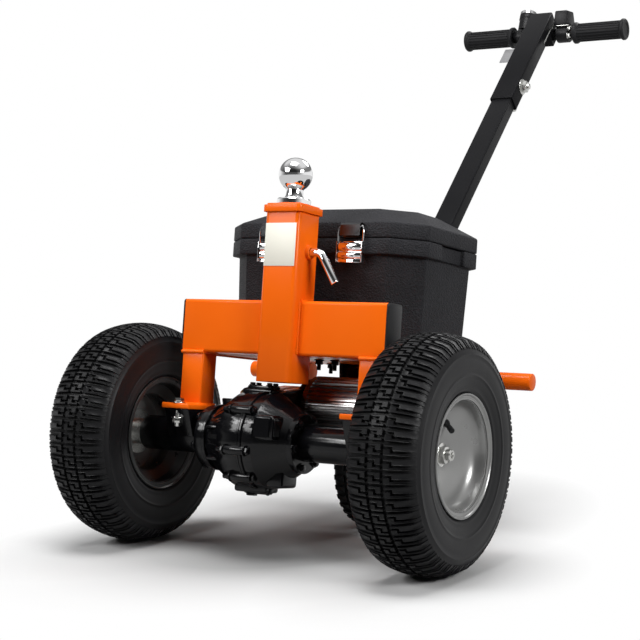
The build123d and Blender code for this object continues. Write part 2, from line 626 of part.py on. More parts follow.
def handle_bracket():
    front = TRAY_BACK + FIT
    reach = CROSS_TUBE_RADIUS + CHEEK_THICKNESS
    low = CROSS_TUBE_UP - reach
    slant = math.radians(HANDLE_ANGLE - LEAN_ANGLE)
    rise_y, rise_z = CHEEK_RISE * math.sin(slant), CHEEK_RISE * math.cos(slant)
    half_y, half_z = TUBE_DEPTH / 2 * math.cos(slant), TUBE_DEPTH / 2 * math.sin(slant)
    under_tray = BAR_BOTTOM - FIT
    outline = [
        (CROSS_TUBE_BACK - reach, low),
        (CROSS_TUBE_BACK + reach, low),
        (FOOT_Y + half_y, FOOT_Z - half_z),
        (FOOT_Y + rise_y + half_y, FOOT_Z + rise_z - half_z),
        (FOOT_Y + rise_y - half_y, FOOT_Z + rise_z + half_z),
        (front, FOOT_Z),
        (front, under_tray),
        (CROSS_TUBE_BACK - reach, under_tray),
    ]
    half = TUBE_WIDTH / 2
    web_low = CROSS_TUBE_UP + reach
    bracket = block(-half, half, front, front + WEB_THICKNESS, web_low, FOOT_Z)
    for side in SIDES.values():
        bracket += side_plate(outline, side * half, side * (half + CHEEK_THICKNESS))
    bracket -= rod(CROSS_TUBE_RADIUS + FIT, -TRAY_HALF, TRAY_HALF, CROSS_TUBE_BACK, CROSS_TUBE_UP)
    save("handle_bracket", CHASSIS, bracket)


def handle():
    save("handle_lower", HANDLE, square_tube(TUBE_WIDTH, TUBE_DEPTH, TUBE_LENGTH, TUBE_WALL, TUBE_CORNER))
    sleeve = square_tube(SLEEVE_WIDTH, SLEEVE_DEPTH, SLEEVE_LENGTH, SLEEVE_WALL, TUBE_CORNER)
    sleeve = Pos(0, 0, SLEEVE_START) * sleeve
    half, back = SLEEVE_WIDTH / 2, SLEEVE_DEPTH / 2
    notch_start = SLEEVE_END - NOTCH_LENGTH
    sleeve -= block(-half, half, back - NOTCH_DEPTH, back, notch_start, SLEEVE_END)
    save("handle_upper", HANDLE, sleeve)
    clamp_low = GRIP_BAR_ALONG - CLAMP_LENGTH / 2
    clamp_high = GRIP_BAR_ALONG + CLAMP_LENGTH / 2
    front = -back + SLEEVE_WALL + FIT
    bar_end = GRIP_BAR_DROP + GRIP_BAR_RADIUS + CLAMP_WALL
    clamp = block(-CLAMP_HALF, CLAMP_HALF, front, bar_end, clamp_low, clamp_high)
    clamp -= rod(GRIP_BAR_RADIUS, -CLAMP_HALF, CLAMP_HALF, GRIP_BAR_DROP, GRIP_BAR_ALONG)
    save("bar_clamp", HANDLE, clamp)
    bar = rod(GRIP_BAR_RADIUS, -GRIP_BAR_HALF, GRIP_BAR_HALF, GRIP_BAR_DROP, GRIP_BAR_ALONG)
    save("grip_bar", HANDLE, bar)
    grip = rod(GRIP_RADIUS, GRIP_INNER, GRIP_OUTER)
    for start in (GRIP_INNER, GRIP_OUTER - GRIP_FLANGE):
        grip += rod(GRIP_FLANGE_RADIUS, start, start + GRIP_FLANGE)
    grip -= rod(GRIP_BAR_RADIUS, GRIP_INNER, GRIP_BAR_HALF)
    grip = Pos(0, GRIP_BAR_DROP, GRIP_BAR_ALONG) * grip
    for name, side in SIDES.items():
        save(f"grip_{name}", HANDLE, mirrored(grip, side))
    knob = Rot(0, 90, 0) * extrude(RegularPolygon(KNOB_RADIUS, 6), KNOB_LENGTH)
    save("clamp_knob", HANDLE, Pos(half, 0, SLEEVE_START + KNOB_RISE) * knob)
    plate_start = SLEEVE_END - PLATE_DOWN
    plate_end = plate_start + PLATE_HEIGHT
    plate = block(-PLATE_OUT, PLATE_IN, back, back + PLATE_THICKNESS, plate_start, plate_end)
    save("name_plate", HANDLE, plate)
    bar_place = HANDLE * Pos(0, GRIP_BAR_DROP, GRIP_BAR_ALONG) * Rot(HANDLE_ANGLE, 0, 0)
    pod = rod(POD_RING_RADIUS, -POD_WIDTH / 2, POD_WIDTH / 2)
    pod += Rot(-POD_TILT, 0, 0) * post(POD_RADIUS, 0, POD_HEIGHT)
    pod -= rod(GRIP_BAR_RADIUS, -POD_RADIUS, POD_RADIUS)
    save("gauge_pod", bar_place * Pos(POD_X, 0, 0), pod)
    front = -SWITCH_DEPTH / 2
    switch_outline = [
        (-SWITCH_BASE / 2, front, GRIP_BAR_RADIUS),
        (SWITCH_BASE / 2, front, GRIP_BAR_RADIUS),
        (SWITCH_TOP / 2, front, SWITCH_HEIGHT),
        (-SWITCH_TOP / 2, front, SWITCH_HEIGHT),
    ]
    switch_face = Face(Wire.make_polygon(switch_outline, close=True))
    switch = extrude(switch_face, SWITCH_DEPTH, dir=(0, 1, 0))
    switch += rod(POD_RING_RADIUS, -SWITCH_RING / 2, SWITCH_RING / 2)
    switch -= rod(GRIP_BAR_RADIUS, -SWITCH_BASE / 2, SWITCH_BASE / 2)
    save("throttle_box", bar_place * Pos(SWITCH_X, 0, 0), switch)


def swivel_wheel():
    leaf = MOUNT_LENGTH / 2
    mount_top = MOUNT_BOTTOM + MOUNT_PLATE
    above = BAR_BOTTOM + TYRE_RADIUS
    mount = block(-MOUNT_HALF, MOUNT_HALF, -leaf, leaf, MOUNT_BOTTOM, mount_top)
    for side in SIDES.values():
        inner = side * (MOUNT_HALF - MOUNT_PLATE)
        mount += block(inner, side * MOUNT_HALF, -leaf, leaf, MOUNT_BOTTOM, above)
    mount += post(BEARING_RADIUS, BEARING_BOTTOM, MOUNT_BOTTOM)
    mount -= post(STEM_RADIUS + RUNNING_FIT, BEARING_BOTTOM, CROWN_TOP + STEM_LENGTH + FIT)
    under_tray = block(-TRAY_HALF, TRAY_HALF, -TRAY_BACK, TRAY_BACK, -TYRE_RADIUS, BAR_BOTTOM)
    under_tray = CHASSIS * under_tray
    swivel = FRAME * Pos(0, SWIVEL_Y, 0)
    save("caster_mount", Pos(0, 0, 0), (swivel * mount) & under_tray)
    axle = CASTER_RADIUS
    outer = FORK_INNER + FORK_PLATE
    crown = block(-outer, outer, -FORK_CROWN_HALF, FORK_CROWN_HALF, CROWN_BOTTOM, CROWN_TOP)
    fork = crown + post(STEM_RADIUS, CROWN_TOP, CROWN_TOP + STEM_LENGTH)
    eye_front = SWIVEL_TRAIL - FORK_EYE_RADIUS
    eye_back = SWIVEL_TRAIL + FORK_EYE_RADIUS
    leg_outline = [
        (-FORK_CROWN_HALF, CROWN_TOP),
        (FORK_CROWN_HALF, CROWN_TOP),
        (eye_back, axle),
        (eye_front, axle),
        (-FORK_CROWN_HALF, CROWN_BOTTOM - FORK_CROWN),
    ]
    for side in SIDES.values():
        inner, face = side * FORK_INNER, side * outer
        fork += side_plate(leg_outline, inner, face)
        fork += rod(FORK_EYE_RADIUS, inner, face, SWIVEL_TRAIL, axle)
    fork -= rod(CASTER_AXLE_RADIUS, -outer, outer, SWIVEL_TRAIL, axle)
    save("caster_fork", swivel, fork)
    pin = rod(CASTER_AXLE_RADIUS, -outer - FORK_GAP, outer + FORK_GAP, SWIVEL_TRAIL, axle)
    save("caster_axle", swivel, pin)
    hub_half = FORK_INNER - FIT
    rim_half = CASTER_RIM_WIDTH / 2
    rim = rod(CASTER_RIM_RADIUS, -rim_half, rim_half)
    for side in SIDES.values():
        rim -= rod(CASTER_RIM_RADIUS - CASTER_RIM_WALL, side * CASTER_RIM_WALL, side * rim_half)
    rim += rod(CASTER_HUB_RADIUS, -hub_half, hub_half)
    rim -= rod(CASTER_AXLE_RADIUS + RUNNING_FIT, -hub_half, hub_half)
    wheel = FRAME * Pos(0, CASTER_Y, CASTER_RADIUS)
    save("caster_rim", wheel, rim)
    bead = CASTER_RIM_RADIUS + FIT
    caster_tyre = tyre(CASTER_RADIUS, bead, bead, rim_half, [(CASTER_HALF, 0.0)])
    save("caster_tyre", wheel, caster_tyre)


os.makedirs("parts", exist_ok=True)
drive_wheels()
drive_unit()
mast()
crossbar()
tray()
battery_box()
box_lid()
hinges_and_latches()
handle_bracket()
handle()
swivel_wheel()
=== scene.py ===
# %% [markdown]
# # An electric trailer dolly in a studio
# The imported CAD model gives every size and joint. This lesson loads it as a fixed frame, sets a studio
# round it, mixes one finish for each material, and then models what a solid can't show: tread,
# welds, bolts, latches and the rounded edges that catch the light.

# %% Load the frame
import json
import math
import bpy
from mathutils import Matrix, Vector

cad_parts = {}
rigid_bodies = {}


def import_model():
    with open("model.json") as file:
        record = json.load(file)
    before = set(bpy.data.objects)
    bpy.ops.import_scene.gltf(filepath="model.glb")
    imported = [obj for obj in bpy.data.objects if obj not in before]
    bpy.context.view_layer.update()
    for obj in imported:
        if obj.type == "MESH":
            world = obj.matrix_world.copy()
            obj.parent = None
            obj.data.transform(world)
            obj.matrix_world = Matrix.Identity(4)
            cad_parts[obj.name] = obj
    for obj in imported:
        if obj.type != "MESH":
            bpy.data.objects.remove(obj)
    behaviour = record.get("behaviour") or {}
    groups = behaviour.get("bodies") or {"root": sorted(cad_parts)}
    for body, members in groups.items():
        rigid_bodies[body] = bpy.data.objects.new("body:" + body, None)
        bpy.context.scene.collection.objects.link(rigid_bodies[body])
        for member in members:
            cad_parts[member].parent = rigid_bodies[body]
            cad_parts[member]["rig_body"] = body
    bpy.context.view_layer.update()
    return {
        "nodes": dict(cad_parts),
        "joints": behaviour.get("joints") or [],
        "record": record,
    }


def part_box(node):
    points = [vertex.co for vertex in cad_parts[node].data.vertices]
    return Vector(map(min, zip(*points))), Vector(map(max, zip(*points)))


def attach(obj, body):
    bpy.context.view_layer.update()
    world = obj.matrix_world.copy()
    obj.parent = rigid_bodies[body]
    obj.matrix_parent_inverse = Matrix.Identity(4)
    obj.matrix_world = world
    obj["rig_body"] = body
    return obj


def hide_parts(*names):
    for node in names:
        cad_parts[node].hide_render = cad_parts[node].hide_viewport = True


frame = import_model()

# %% [markdown]
# ## Three places to work in
# The chassis leans back about the drive axle and the handle leans further. It is easier to model each
# piece upright, in millimetres from the axle or from the handle's foot, and to carry it into place at the
# end. The joints and the ball's mount in the record give those places, so nothing is measured twice.

# %% The axle, the lean and the handle
MM = 0.001
SIDES = (("left", -1), ("right", 1))
HANDLE_ROOT = Vector((0, 0.326, 0.1756))  # the handle's foot, upright from the axle, in metres
joints = {joint["name"]: joint for joint in frame["joints"]}
mounts = {mount["name"]: mount for mount in frame["record"]["mounts"]}
slot_of = {part["node"]: part["material_slot"] for part in frame["record"]["subparts"]}
wheel_middle = {side: Vector(joints[f"{side}_wheel_spin"]["pos_m"]) for side, sign in SIDES}
axle = (wheel_middle["left"] + wheel_middle["right"]) / 2
ball_axis = Vector(mounts["tow_ball"]["axis"])
slide_axis = Vector(joints["handle_slide"]["axis"])
CHASSIS = Matrix.Translation(axle) @ Matrix.Rotation(-math.atan2(ball_axis.y, ball_axis.z), 4, "X")
HANDLE_FOOT = CHASSIS @ HANDLE_ROOT
HANDLE = Matrix.Translation(HANDLE_FOOT) @ Matrix.Rotation(-math.atan2(slide_axis.y, slide_axis.z), 4, "X")
print("axle at", axle[:], "handle foot at", HANDLE_FOOT[:])

# %% [markdown]
# ## Camera, floor and light
# The photograph was taken from the front right, a little above the wheels. A fit of its tubes and tyres
# gave the camera below. The floor is matt near the wheels and under the machine, so that it holds a soft
# shadow, and its colour there is darkened towards the axle as a painted shadow; further out it turns to
# plain white. The world is a bright ceiling and a white horizon with a dimmer ring between, which is what
# makes chrome look like chrome. Ahead of the machine it is dim to all but the camera, so that black paint
# stays black.

# %% Camera
CAMERA_PLACE = (1.2045, axle.y - 1.8420, 0.4476)
CAMERA_DIP, CAMERA_TURN = 2.65, 31.57  # degrees below the level, degrees round from straight ahead
CAMERA_LENS, CAMERA_SENSOR = 85.2, 36.0
camera = bpy.data.objects.new("photo_camera", bpy.data.cameras.new("photo_camera"))
bpy.context.scene.collection.objects.link(camera)
camera.location = CAMERA_PLACE
camera.rotation_euler = (math.radians(90 - CAMERA_DIP), 0, math.radians(CAMERA_TURN))
camera.data.lens = CAMERA_LENS
camera.data.sensor_width = CAMERA_SENSOR
bpy.context.scene.camera = camera
bpy.context.scene.view_settings.view_transform = "Standard"
print("camera at", camera.location[:])


# %% [markdown]
# ## Shader maths as plain expressions
# A wire between nodes can be handled like a number. The class below wraps an output socket, so that
# `1 - grime * 0.2` adds the Math nodes by itself, and its one method adds any other node.

# %% The wire class
class Wire:
    """An output socket of a node tree. Arithmetic on it adds Math nodes."""

    def __init__(self, tree, socket=None):
        self.tree = tree
        self.socket = socket

    def node(self, kind, settings=None, output=0, **sockets):
        """Add a node by its type, settings, output to carry on from, and sockets' values or wires."""
        made = self.tree.nodes.new("ShaderNode" + kind)
        for key, value in (settings or {}).items():
            if key == "stops":
                while len(made.color_ramp.elements) < len(value):
                    made.color_ramp.elements.new(0.5)
                for stop, (place, tone) in zip(made.color_ramp.elements, value):
                    stop.position = place
                    stop.color = (tone, tone, tone, 1)
            else:
                setattr(made, key, value)
        for key, value in sockets.items():
            socket = made.inputs[int(key[1:])] if key[0] == "_" else made.inputs[key]
            if isinstance(value, Wire):
                self.tree.links.new(value.socket, socket)
            else:
                socket.default_value = value
        return Wire(self.tree, made.outputs[output])

    def __add__(self, other):
        return self.node("Math", {"operation": "ADD"}, _0=self, _1=other)

    def __sub__(self, other):
        return self.node("Math", {"operation": "SUBTRACT"}, _0=self, _1=other)

    def __rsub__(self, other):
        return self.node("Math", {"operation": "SUBTRACT"}, _0=other, _1=self)

    def __mul__(self, other):
        return self.node("Math", {"operation": "MULTIPLY"}, _0=self, _1=other)

    __radd__ = __add__
    __rmul__ = __mul__


# %% Small recipes on wires
def noise(wire, place, scale, detail=2.0, rough=0.5):
    """Cloudy values from nought to one."""
    return wire.node("TexNoise", Vector=place, Scale=scale, Detail=detail, Roughness=rough)


def tint(wire, factor, first, second):
    """A colour between two, by a factor."""
    ends = {"_6": (*first, 1), "_7": (*second, 1)}
    return wire.node("Mix", {"data_type": "RGBA"}, output=2, _0=factor, **ends)


def ramp(wire, factor, *stops):
    """Grey tones at places along a factor, with straight runs between."""
    return wire.node("ValToRGB", {"stops": stops}, Fac=factor)


def bump(wire, height, strength, distance):
    """A normal that follows a height."""
    return wire.node("Bump", Height=height, Strength=strength, Distance=distance)


def length(wire, vector):
    """How long a vector is."""
    return wire.node("VectorMath", {"operation": "LENGTH"}, output="Value", _0=vector)


# %% Floor
AMBIENT = 0.16  # share of the white surroundings that also lights things
FLOOR_MIRROR = 0.65  # share of the white floor that shows in mirrors
SHADE_MIDDLE = -0.43  # where along Y the shade is deepest, just ahead of the axle
OVAL_SHIFT, OVAL_SCALE = (0.08, 0.0825, 0.0), (1.0, 0.55, 1.0)  # the part's whole shadow, longer than wide


def white_level(wire, mirror=1.0):
    """Strength of the white surroundings: full to the camera, a share of it in mirrors, little as light."""
    direct = wire.node("LightPath", output="Is Camera Ray")
    mirrored_ray = wire.node("LightPath", output="Is Glossy Ray")
    through = wire.node("LightPath", output="Is Transmission Ray")
    every_ray = direct + mirrored_ray * mirror + through
    seen = wire.node("Math", {"operation": "MINIMUM"}, _0=every_ray, _1=1.0)
    return seen * (1 - AMBIENT) + AMBIENT


def floor_finish():
    """Matt near the wheels, with a painted shadow that darkens it towards the axle; plain white further out.
    """
    backdrop = bpy.data.materials.new("studio_floor")
    backdrop.use_nodes = True
    tree = backdrop.node_tree
    tree.nodes.remove(tree.nodes["Principled BSDF"])
    wire = Wire(tree)
    place = wire.node("TexCoord", output="Object")
    across = wire.node("SeparateXYZ", output="X", Vector=place)
    along = wire.node("SeparateXYZ", output="Y", Vector=place) - SHADE_MIDDLE
    aside = wire.node("Math", {"operation": "ABSOLUTE"}, _0=across) - wheel_middle["right"].x
    oval = wire.node("Mapping", Vector=place, Location=OVAL_SHIFT, Scale=OVAL_SCALE)
    from_wheels = length(wire, wire.node("CombineXYZ", X=aside, Y=along * 0.6))
    from_axle = length(wire, wire.node("CombineXYZ", X=across, Y=along))
    off_shadow = ramp(wire, length(wire, oval), (0.22, 0.0), (0.39, 1.0))
    off_wheels = ramp(wire, from_wheels, (0.07, 0.0), (0.2, 1.0))
    # the matt floor's colour runs from dark grey under the axle to paler grey: a painted shadow, on top of
    # the real shadow it catches
    matt_painted_shadow = wire.node("BsdfDiffuse", Color=ramp(wire, from_axle, (0.0, 0.28), (0.36, 0.62)))
    white = wire.node("Emission", Color=(1, 1, 1, 1), Strength=white_level(wire, FLOOR_MIRROR))
    mixed = wire.node("MixShader", _0=off_shadow * off_wheels, _1=matt_painted_shadow, _2=white)
    tree.links.new(mixed.socket, tree.nodes["Material Output"].inputs["Surface"])
    return backdrop


bpy.ops.mesh.primitive_circle_add(vertices=96, radius=30, fill_type="NGON", location=(0, 0, -0.0005))
floor = bpy.context.object
floor.name = "studio_floor"
floor.data.materials.append(floor_finish())
print("floor:", floor.name)


# %% World
def studio_world():
    """Bright ceiling, dim ring and white horizon, dimmed ahead for all but the camera."""
    world = bpy.data.worlds.new("studio")
    world.use_nodes = True
    tree = world.node_tree
    sky = Wire(tree)
    direction = sky.node("TexCoord", output="Generated")
    up = sky.node("SeparateXYZ", output="Z", Vector=direction)
    bands = ramp(sky, up, (0.0, 1.0), (0.2, 1.0), (0.27, 0.2), (0.52, 0.25), (0.68, 0.85), (1.0, 0.9))
    rearward = sky.node("SeparateXYZ", output="Y", Vector=direction)
    dimmed = ramp(sky, rearward * 0.5 + 0.5, (0.12, 0.1), (0.5, 1.0))
    direct = sky.node("LightPath", output="Is Camera Ray")
    shown = sky.node("Math", {"operation": "MAXIMUM"}, _0=dimmed, _1=direct)
    background = tree.nodes["Background"]
    tree.links.new(bands.socket, background.inputs["Color"])
    tree.links.new((white_level(sky) * shown).socket, background.inputs["Strength"])
    return world


bpy.context.scene.world = studio_world()
print("world:", bpy.context.scene.world.name)

# %% Lamps
LAMPS = {  # name: (place, aim, width and height, watts)
    "front_key": ((-1.35, -2.6, 1.9), (0, -0.35, 0.25), (1.4, 1.1), 50),
    "left_strip": ((-1.75, -2.0, 2.1), (0, -0.4, 0.2), (0.9, 0.22), 10),
    "side_softbox": ((2.6, -0.9, 1.5), (0.1, -0.3, 0.25), (1.0, 0.7), 54),
    "top_softbox": ((0, -0.85, 2.6), (0, -0.3, 0), (1.3, 0.9), 46),
    "back_fill": ((0.5, 2.2, 2.6), (0, -0.1, 0.25), (1.4, 1.0), 32),
}
for name, (place, aim, (width, height), watts) in LAMPS.items():
    lamp = bpy.data.objects.new(name, bpy.data.lights.new(name, "AREA"))
    bpy.context.scene.collection.objects.link(lamp)
    lamp.data.shape = "RECTANGLE"
    lamp.data.size = width
    lamp.data.size_y = height
    lamp.data.energy = watts
    lamp.location = place
    lamp.rotation_euler = (Vector(aim) - Vector(place)).to_track_quat("-Z", "Y").to_euler()
print("lamps:", ", ".join(LAMPS))


# %% [markdown]
# ## Finishes
# One finish for each material slot of the record, and three more for the label, the hooks and a brass plug.
# Powder coat has a faint orange peel, cast iron is lumpy under its gloss, moulded plastic has a
# leather-like grain, and bare metal has brushing or wipe marks in its roughness. Object coordinates keep
# the grain at its real size on every piece.

# %% The finish maker
FINISH = {}


def finish(slot, recipe, **constants):
    """A Principled material: constants on its own sockets, the recipe's wires on the rest."""
    material = bpy.data.materials.new(slot)
    material.use_nodes = True
    shader = material.node_tree.nodes["Principled BSDF"]
    for key, value in constants.items():
        shader.inputs[key.replace("_", " ")].default_value = value
    wire = Wire(material.node_tree)
    for key, value in recipe(wire, wire.node("TexCoord", output="Object")).items():
        material.node_tree.links.new(value.socket, shader.inputs[key])
    FINISH[slot] = material


# %% Paints
def paint(low, high, shine, peel, depth):
    """Sprayed paint: a slow drift in tone, a little in shine, and orange peel."""
    def recipe(wire, place):
        drift = noise(wire, place, 11.0, 3.0)
        return {
            "Base Color": tint(wire, drift, low, high),
            "Roughness": shine + noise(wire, place, 38.0, 4.0) * 0.1,
            "Normal": bump(wire, noise(wire, place, peel, 2.0), depth, 0.001),
        }
    return recipe


finish("orange_paint", paint((0.83, 0.118, 0.003), (0.92, 0.15, 0.006), 0.2, 520.0, 0.03),
       Coat_Weight=0.07, Coat_Roughness=0.06, Specular_IOR_Level=0.07)
finish("gloss_black", paint((0.0015, 0.0015, 0.002), (0.004, 0.004, 0.005), 0.1, 300.0, 0.1),
       Specular_IOR_Level=0.28)
finish("satin_black", paint((0.006, 0.006, 0.007), (0.012, 0.012, 0.013), 0.3, 900.0, 0.08),
       Specular_IOR_Level=0.045)
# between these two places the painted shade on the wheel's inner side fades out to the silver paint
SHADE_FADE_START, SHADE_FADE_END = 0.25, 0.262  # metres from the machine's middle, just inside the wheel's disc


def wheel_paint_and_shade(wire, place):
    """Silver-grey paint on the outer face of a wheel, with a painted shade, dark grey, on the side towards
    the axle.
    """
    across = wire.node("SeparateXYZ", output="X", Vector=place)
    outward = wire.node("Math", {"operation": "ABSOLUTE"}, _0=across)
    clear_of_shade = wire.node("MapRange", _0=outward, _1=SHADE_FADE_START, _2=SHADE_FADE_END)
    silver = paint((0.23, 0.23, 0.227), (0.31, 0.31, 0.305), 0.24, 650.0, 0.05)(wire, place)
    # the dark grey on the side towards the axle stands in for the shade there: painted shade, not the
    # wheel's paint
    inner_painted_shade = tint(wire, noise(wire, place, 14.0, 3.0), (0.04, 0.04, 0.04), (0.075, 0.075, 0.075))
    base = wire.node("Mix", {"data_type": "RGBA"}, output=2, _0=clear_of_shade, _6=inner_painted_shade, _7=silver["Base Color"])
    return {**silver, "Base Color": base}


finish("rim_grey", wheel_paint_and_shade, Metallic=0.55)
finish("caster_grey", paint((0.5, 0.5, 0.49), (0.6, 0.6, 0.59), 0.32, 600.0, 0.05), Metallic=0.2)
print("paints:", ", ".join(FINISH))


# %% Rubber and plastic
def moulded(low, high, shine, grain, depth):
    """Moulded rubber or plastic: fine speckle, cellular grain and uneven shine."""
    def recipe(wire, place):
        cells = wire.node("TexVoronoi", {"feature": "SMOOTH_F1"}, Vector=place, Scale=grain, Smoothness=0.4)
        dust = noise(wire, place, 24.0, 5.0, 0.6)
        speckle = dust * 0.4 + noise(wire, place, grain * 0.9, 3.0) * 0.45 + cells * 0.15
        return {
            "Base Color": tint(wire, speckle, low, high),
            "Roughness": shine + dust * 0.16,
            "Normal": bump(wire, cells + noise(wire, place, grain * 2.1) * 0.4, depth, 0.001),
        }
    return recipe


finish("tyre_rubber", moulded((0.004, 0.004, 0.0045), (0.012, 0.012, 0.013), 0.34, 1200.0, 0.06),
       Specular_IOR_Level=0.17)
finish("box_plastic", moulded((0.004, 0.004, 0.0045), (0.052, 0.052, 0.057), 0.44, 400.0, 1.2),
       Specular_IOR_Level=0.04)
finish("battery_case", moulded((0.01, 0.01, 0.011), (0.024, 0.024, 0.025), 0.42, 900.0, 0.12))
finish("black_plastic", moulded((0.006, 0.006, 0.007), (0.015, 0.015, 0.016), 0.28, 1000.0, 0.1),
       Specular_IOR_Level=0.16)
finish("grip_rubber", moulded((0.006, 0.006, 0.007), (0.016, 0.016, 0.017), 0.42, 1300.0, 0.12),
       Specular_IOR_Level=0.16)
print("rubber and plastic:", len(FINISH))


# %% Bare and plated metal
def plated(low, high, shine, streak):
    """Metal with wipe marks drawn out along X, so its shine is never even."""
    def recipe(wire, place):
        along = wire.node("Mapping", Vector=place, Scale=(streak, 1.0, 1.0))
        marks = noise(wire, along, 160.0, 4.0, 0.6)
        return {
            "Base Color": tint(wire, noise(wire, place, 30.0, 3.0), low, high),
            "Roughness": shine + marks * shine,
            "Normal": bump(wire, marks, 0.03, 0.0005),
        }
    return recipe


finish("chrome", plated((0.74, 0.74, 0.75), (0.86, 0.86, 0.86), 0.035, 0.6), Metallic=1.0)
finish("zinc_steel", plated((0.52, 0.52, 0.5), (0.68, 0.68, 0.66), 0.15, 0.5), Metallic=1.0)
finish("motor_aluminium", plated((0.36, 0.35, 0.35), (0.5, 0.49, 0.49), 0.17, 0.06), Metallic=1.0)
finish("plain_plate", plated((0.34, 0.34, 0.35), (0.46, 0.46, 0.47), 0.2, 0.1), Metallic=0.9)
finish("brass", plated((0.55, 0.38, 0.14), (0.7, 0.5, 0.22), 0.16, 0.5), Metallic=1.0)
finish("cream_label", paint((0.82, 0.79, 0.68), (0.88, 0.86, 0.77), 0.42, 700.0, 0.03))
finish("dark_steel", plated((0.045, 0.045, 0.047), (0.085, 0.085, 0.088), 0.16, 0.4), Metallic=1.0)
print("metals and label:", len(FINISH))


# %% [markdown]
# ## Ways of working
# Every piece below starts from a primitive that is shaped in edit mode: a block with bevelled edges, a
# rod, an outline that is extruded point by point and then spun or filled, or a round curve turned into a
# mesh. These helpers keep the steps of each short. Operators act on whatever is selected, so each starts
# by clearing that.

# %% Selecting
def only(piece=None):
    """Leave edit mode, deselect all, and take up one object."""
    if bpy.context.object and bpy.context.object.mode != "OBJECT":
        bpy.ops.object.mode_set(mode="OBJECT")
    bpy.ops.object.select_all(action="DESELECT")
    if piece:
        piece.select_set(True)
        bpy.context.view_layer.objects.active = piece
    return piece


def pick_faces(piece, test):
    """Go into edit mode with the faces selected whose middle and normal pass a test."""
    only(piece)
    bpy.ops.object.mode_set(mode="EDIT")
    bpy.ops.mesh.select_mode(type="FACE")
    bpy.ops.mesh.select_all(action="DESELECT")
    bpy.ops.object.mode_set(mode="OBJECT")
    for face in piece.data.polygons:
        face.select = bool(test(face.center, face.normal))
    bpy.ops.object.mode_set(mode="EDIT")


def pick_all(piece):
    """Go into edit mode with everything selected."""
    only(piece)
    bpy.ops.object.mode_set(mode="EDIT")
    bpy.ops.mesh.select_all(action="SELECT")


def done(piece, name=None):
    """Back to object mode, with the place in the mesh."""
    bpy.ops.object.mode_set(mode="OBJECT")
    bpy.ops.object.transform_apply(location=True, rotation=True, scale=True)
    if name:
        piece.name = name
    return piece


# %% Blocks, rods and outlines
def block(name, low, high, bevel=0.0, segments=2):
    """A box between two corners in millimetres, with its edges rounded."""
    only()
    low, high = Vector(low) * MM, Vector(high) * MM
    bpy.ops.mesh.primitive_cube_add(size=1, location=(low + high) / 2, scale=high - low)
    piece = bpy.context.object
    bpy.ops.object.transform_apply(location=True, rotation=True, scale=True)
    bpy.ops.object.mode_set(mode="EDIT")
    if bevel:
        bpy.ops.mesh.bevel(offset=bevel * MM, segments=segments, affect="EDGES")
    return done(piece, name)


def rod(name, radius, start, end, bevel=0.0, sides=32):
    """A round or six-sided bar between two points in millimetres, with its ends' edges rounded."""
    only()
    start, end = Vector(start) * MM, Vector(end) * MM
    run = (end - start).normalized()
    turn = run.to_track_quat("Z", "X").to_euler()
    size = {"vertices": sides, "radius": radius * MM, "depth": (end - start).length}
    bpy.ops.mesh.primitive_cylinder_add(location=(start + end) / 2, rotation=turn, **size)
    piece = bpy.context.object
    bpy.ops.object.transform_apply(location=True, rotation=True, scale=True)
    pick_faces(piece, lambda middle, normal: abs(normal.dot(run)) > 0.9)
    if bevel:
        bpy.ops.mesh.bevel(offset=bevel * MM, segments=2, affect="EDGES")
    return done(piece, name)


def traced(points):
    """One vertex, extruded from point to point in millimetres. Stays in edit mode."""
    only()
    bpy.ops.mesh.primitive_plane_add(size=0.01)
    piece = bpy.context.object
    bpy.ops.object.mode_set(mode="EDIT")
    bpy.ops.mesh.select_mode(type="VERT")
    bpy.ops.mesh.merge(type="CENTER")
    bpy.ops.transform.translate(value=Vector(points[0]) * MM)
    for before, after in zip(points, points[1:]):
        step = (Vector(after) - Vector(before)) * MM
        bpy.ops.mesh.extrude_region_move(TRANSFORM_OT_translate={"value": step})
    return piece


def turned(name, profile, steps=72):
    """Spin an outline of (along X, radius) points in millimetres, closed unless it starts on the axis."""
    closing = profile[:1] if profile[0][1] else []
    piece = traced([(x, 0, radius) for x, radius in [*profile, *closing]])
    bpy.ops.mesh.select_all(action="SELECT")
    bpy.ops.mesh.spin(steps=steps, angle=2 * math.pi, center=(0, 0, 0), axis=(1, 0, 0))
    bpy.ops.mesh.select_all(action="SELECT")
    bpy.ops.mesh.remove_doubles(threshold=1e-5)
    bpy.ops.mesh.normals_make_consistent(inside=False)
    return done(piece, name)


def slab(name, outline, start, end, bevel=0.0):
    """A flat outline of (y, z) points in millimetres, filled and pulled out along X."""
    piece = traced([(start, y, z) for y, z in [*outline, outline[0]]])
    bpy.ops.mesh.select_all(action="SELECT")
    bpy.ops.mesh.remove_doubles(threshold=1e-6)
    bpy.ops.mesh.edge_face_add()
    bpy.ops.mesh.extrude_region_move(TRANSFORM_OT_translate={"value": ((end - start) * MM, 0, 0)})
    bpy.ops.mesh.select_all(action="SELECT")
    bpy.ops.mesh.normals_make_consistent(inside=False)
    if bevel:
        bpy.ops.mesh.bevel(offset=bevel * MM, segments=2, affect="EDGES")
    return done(piece, name)


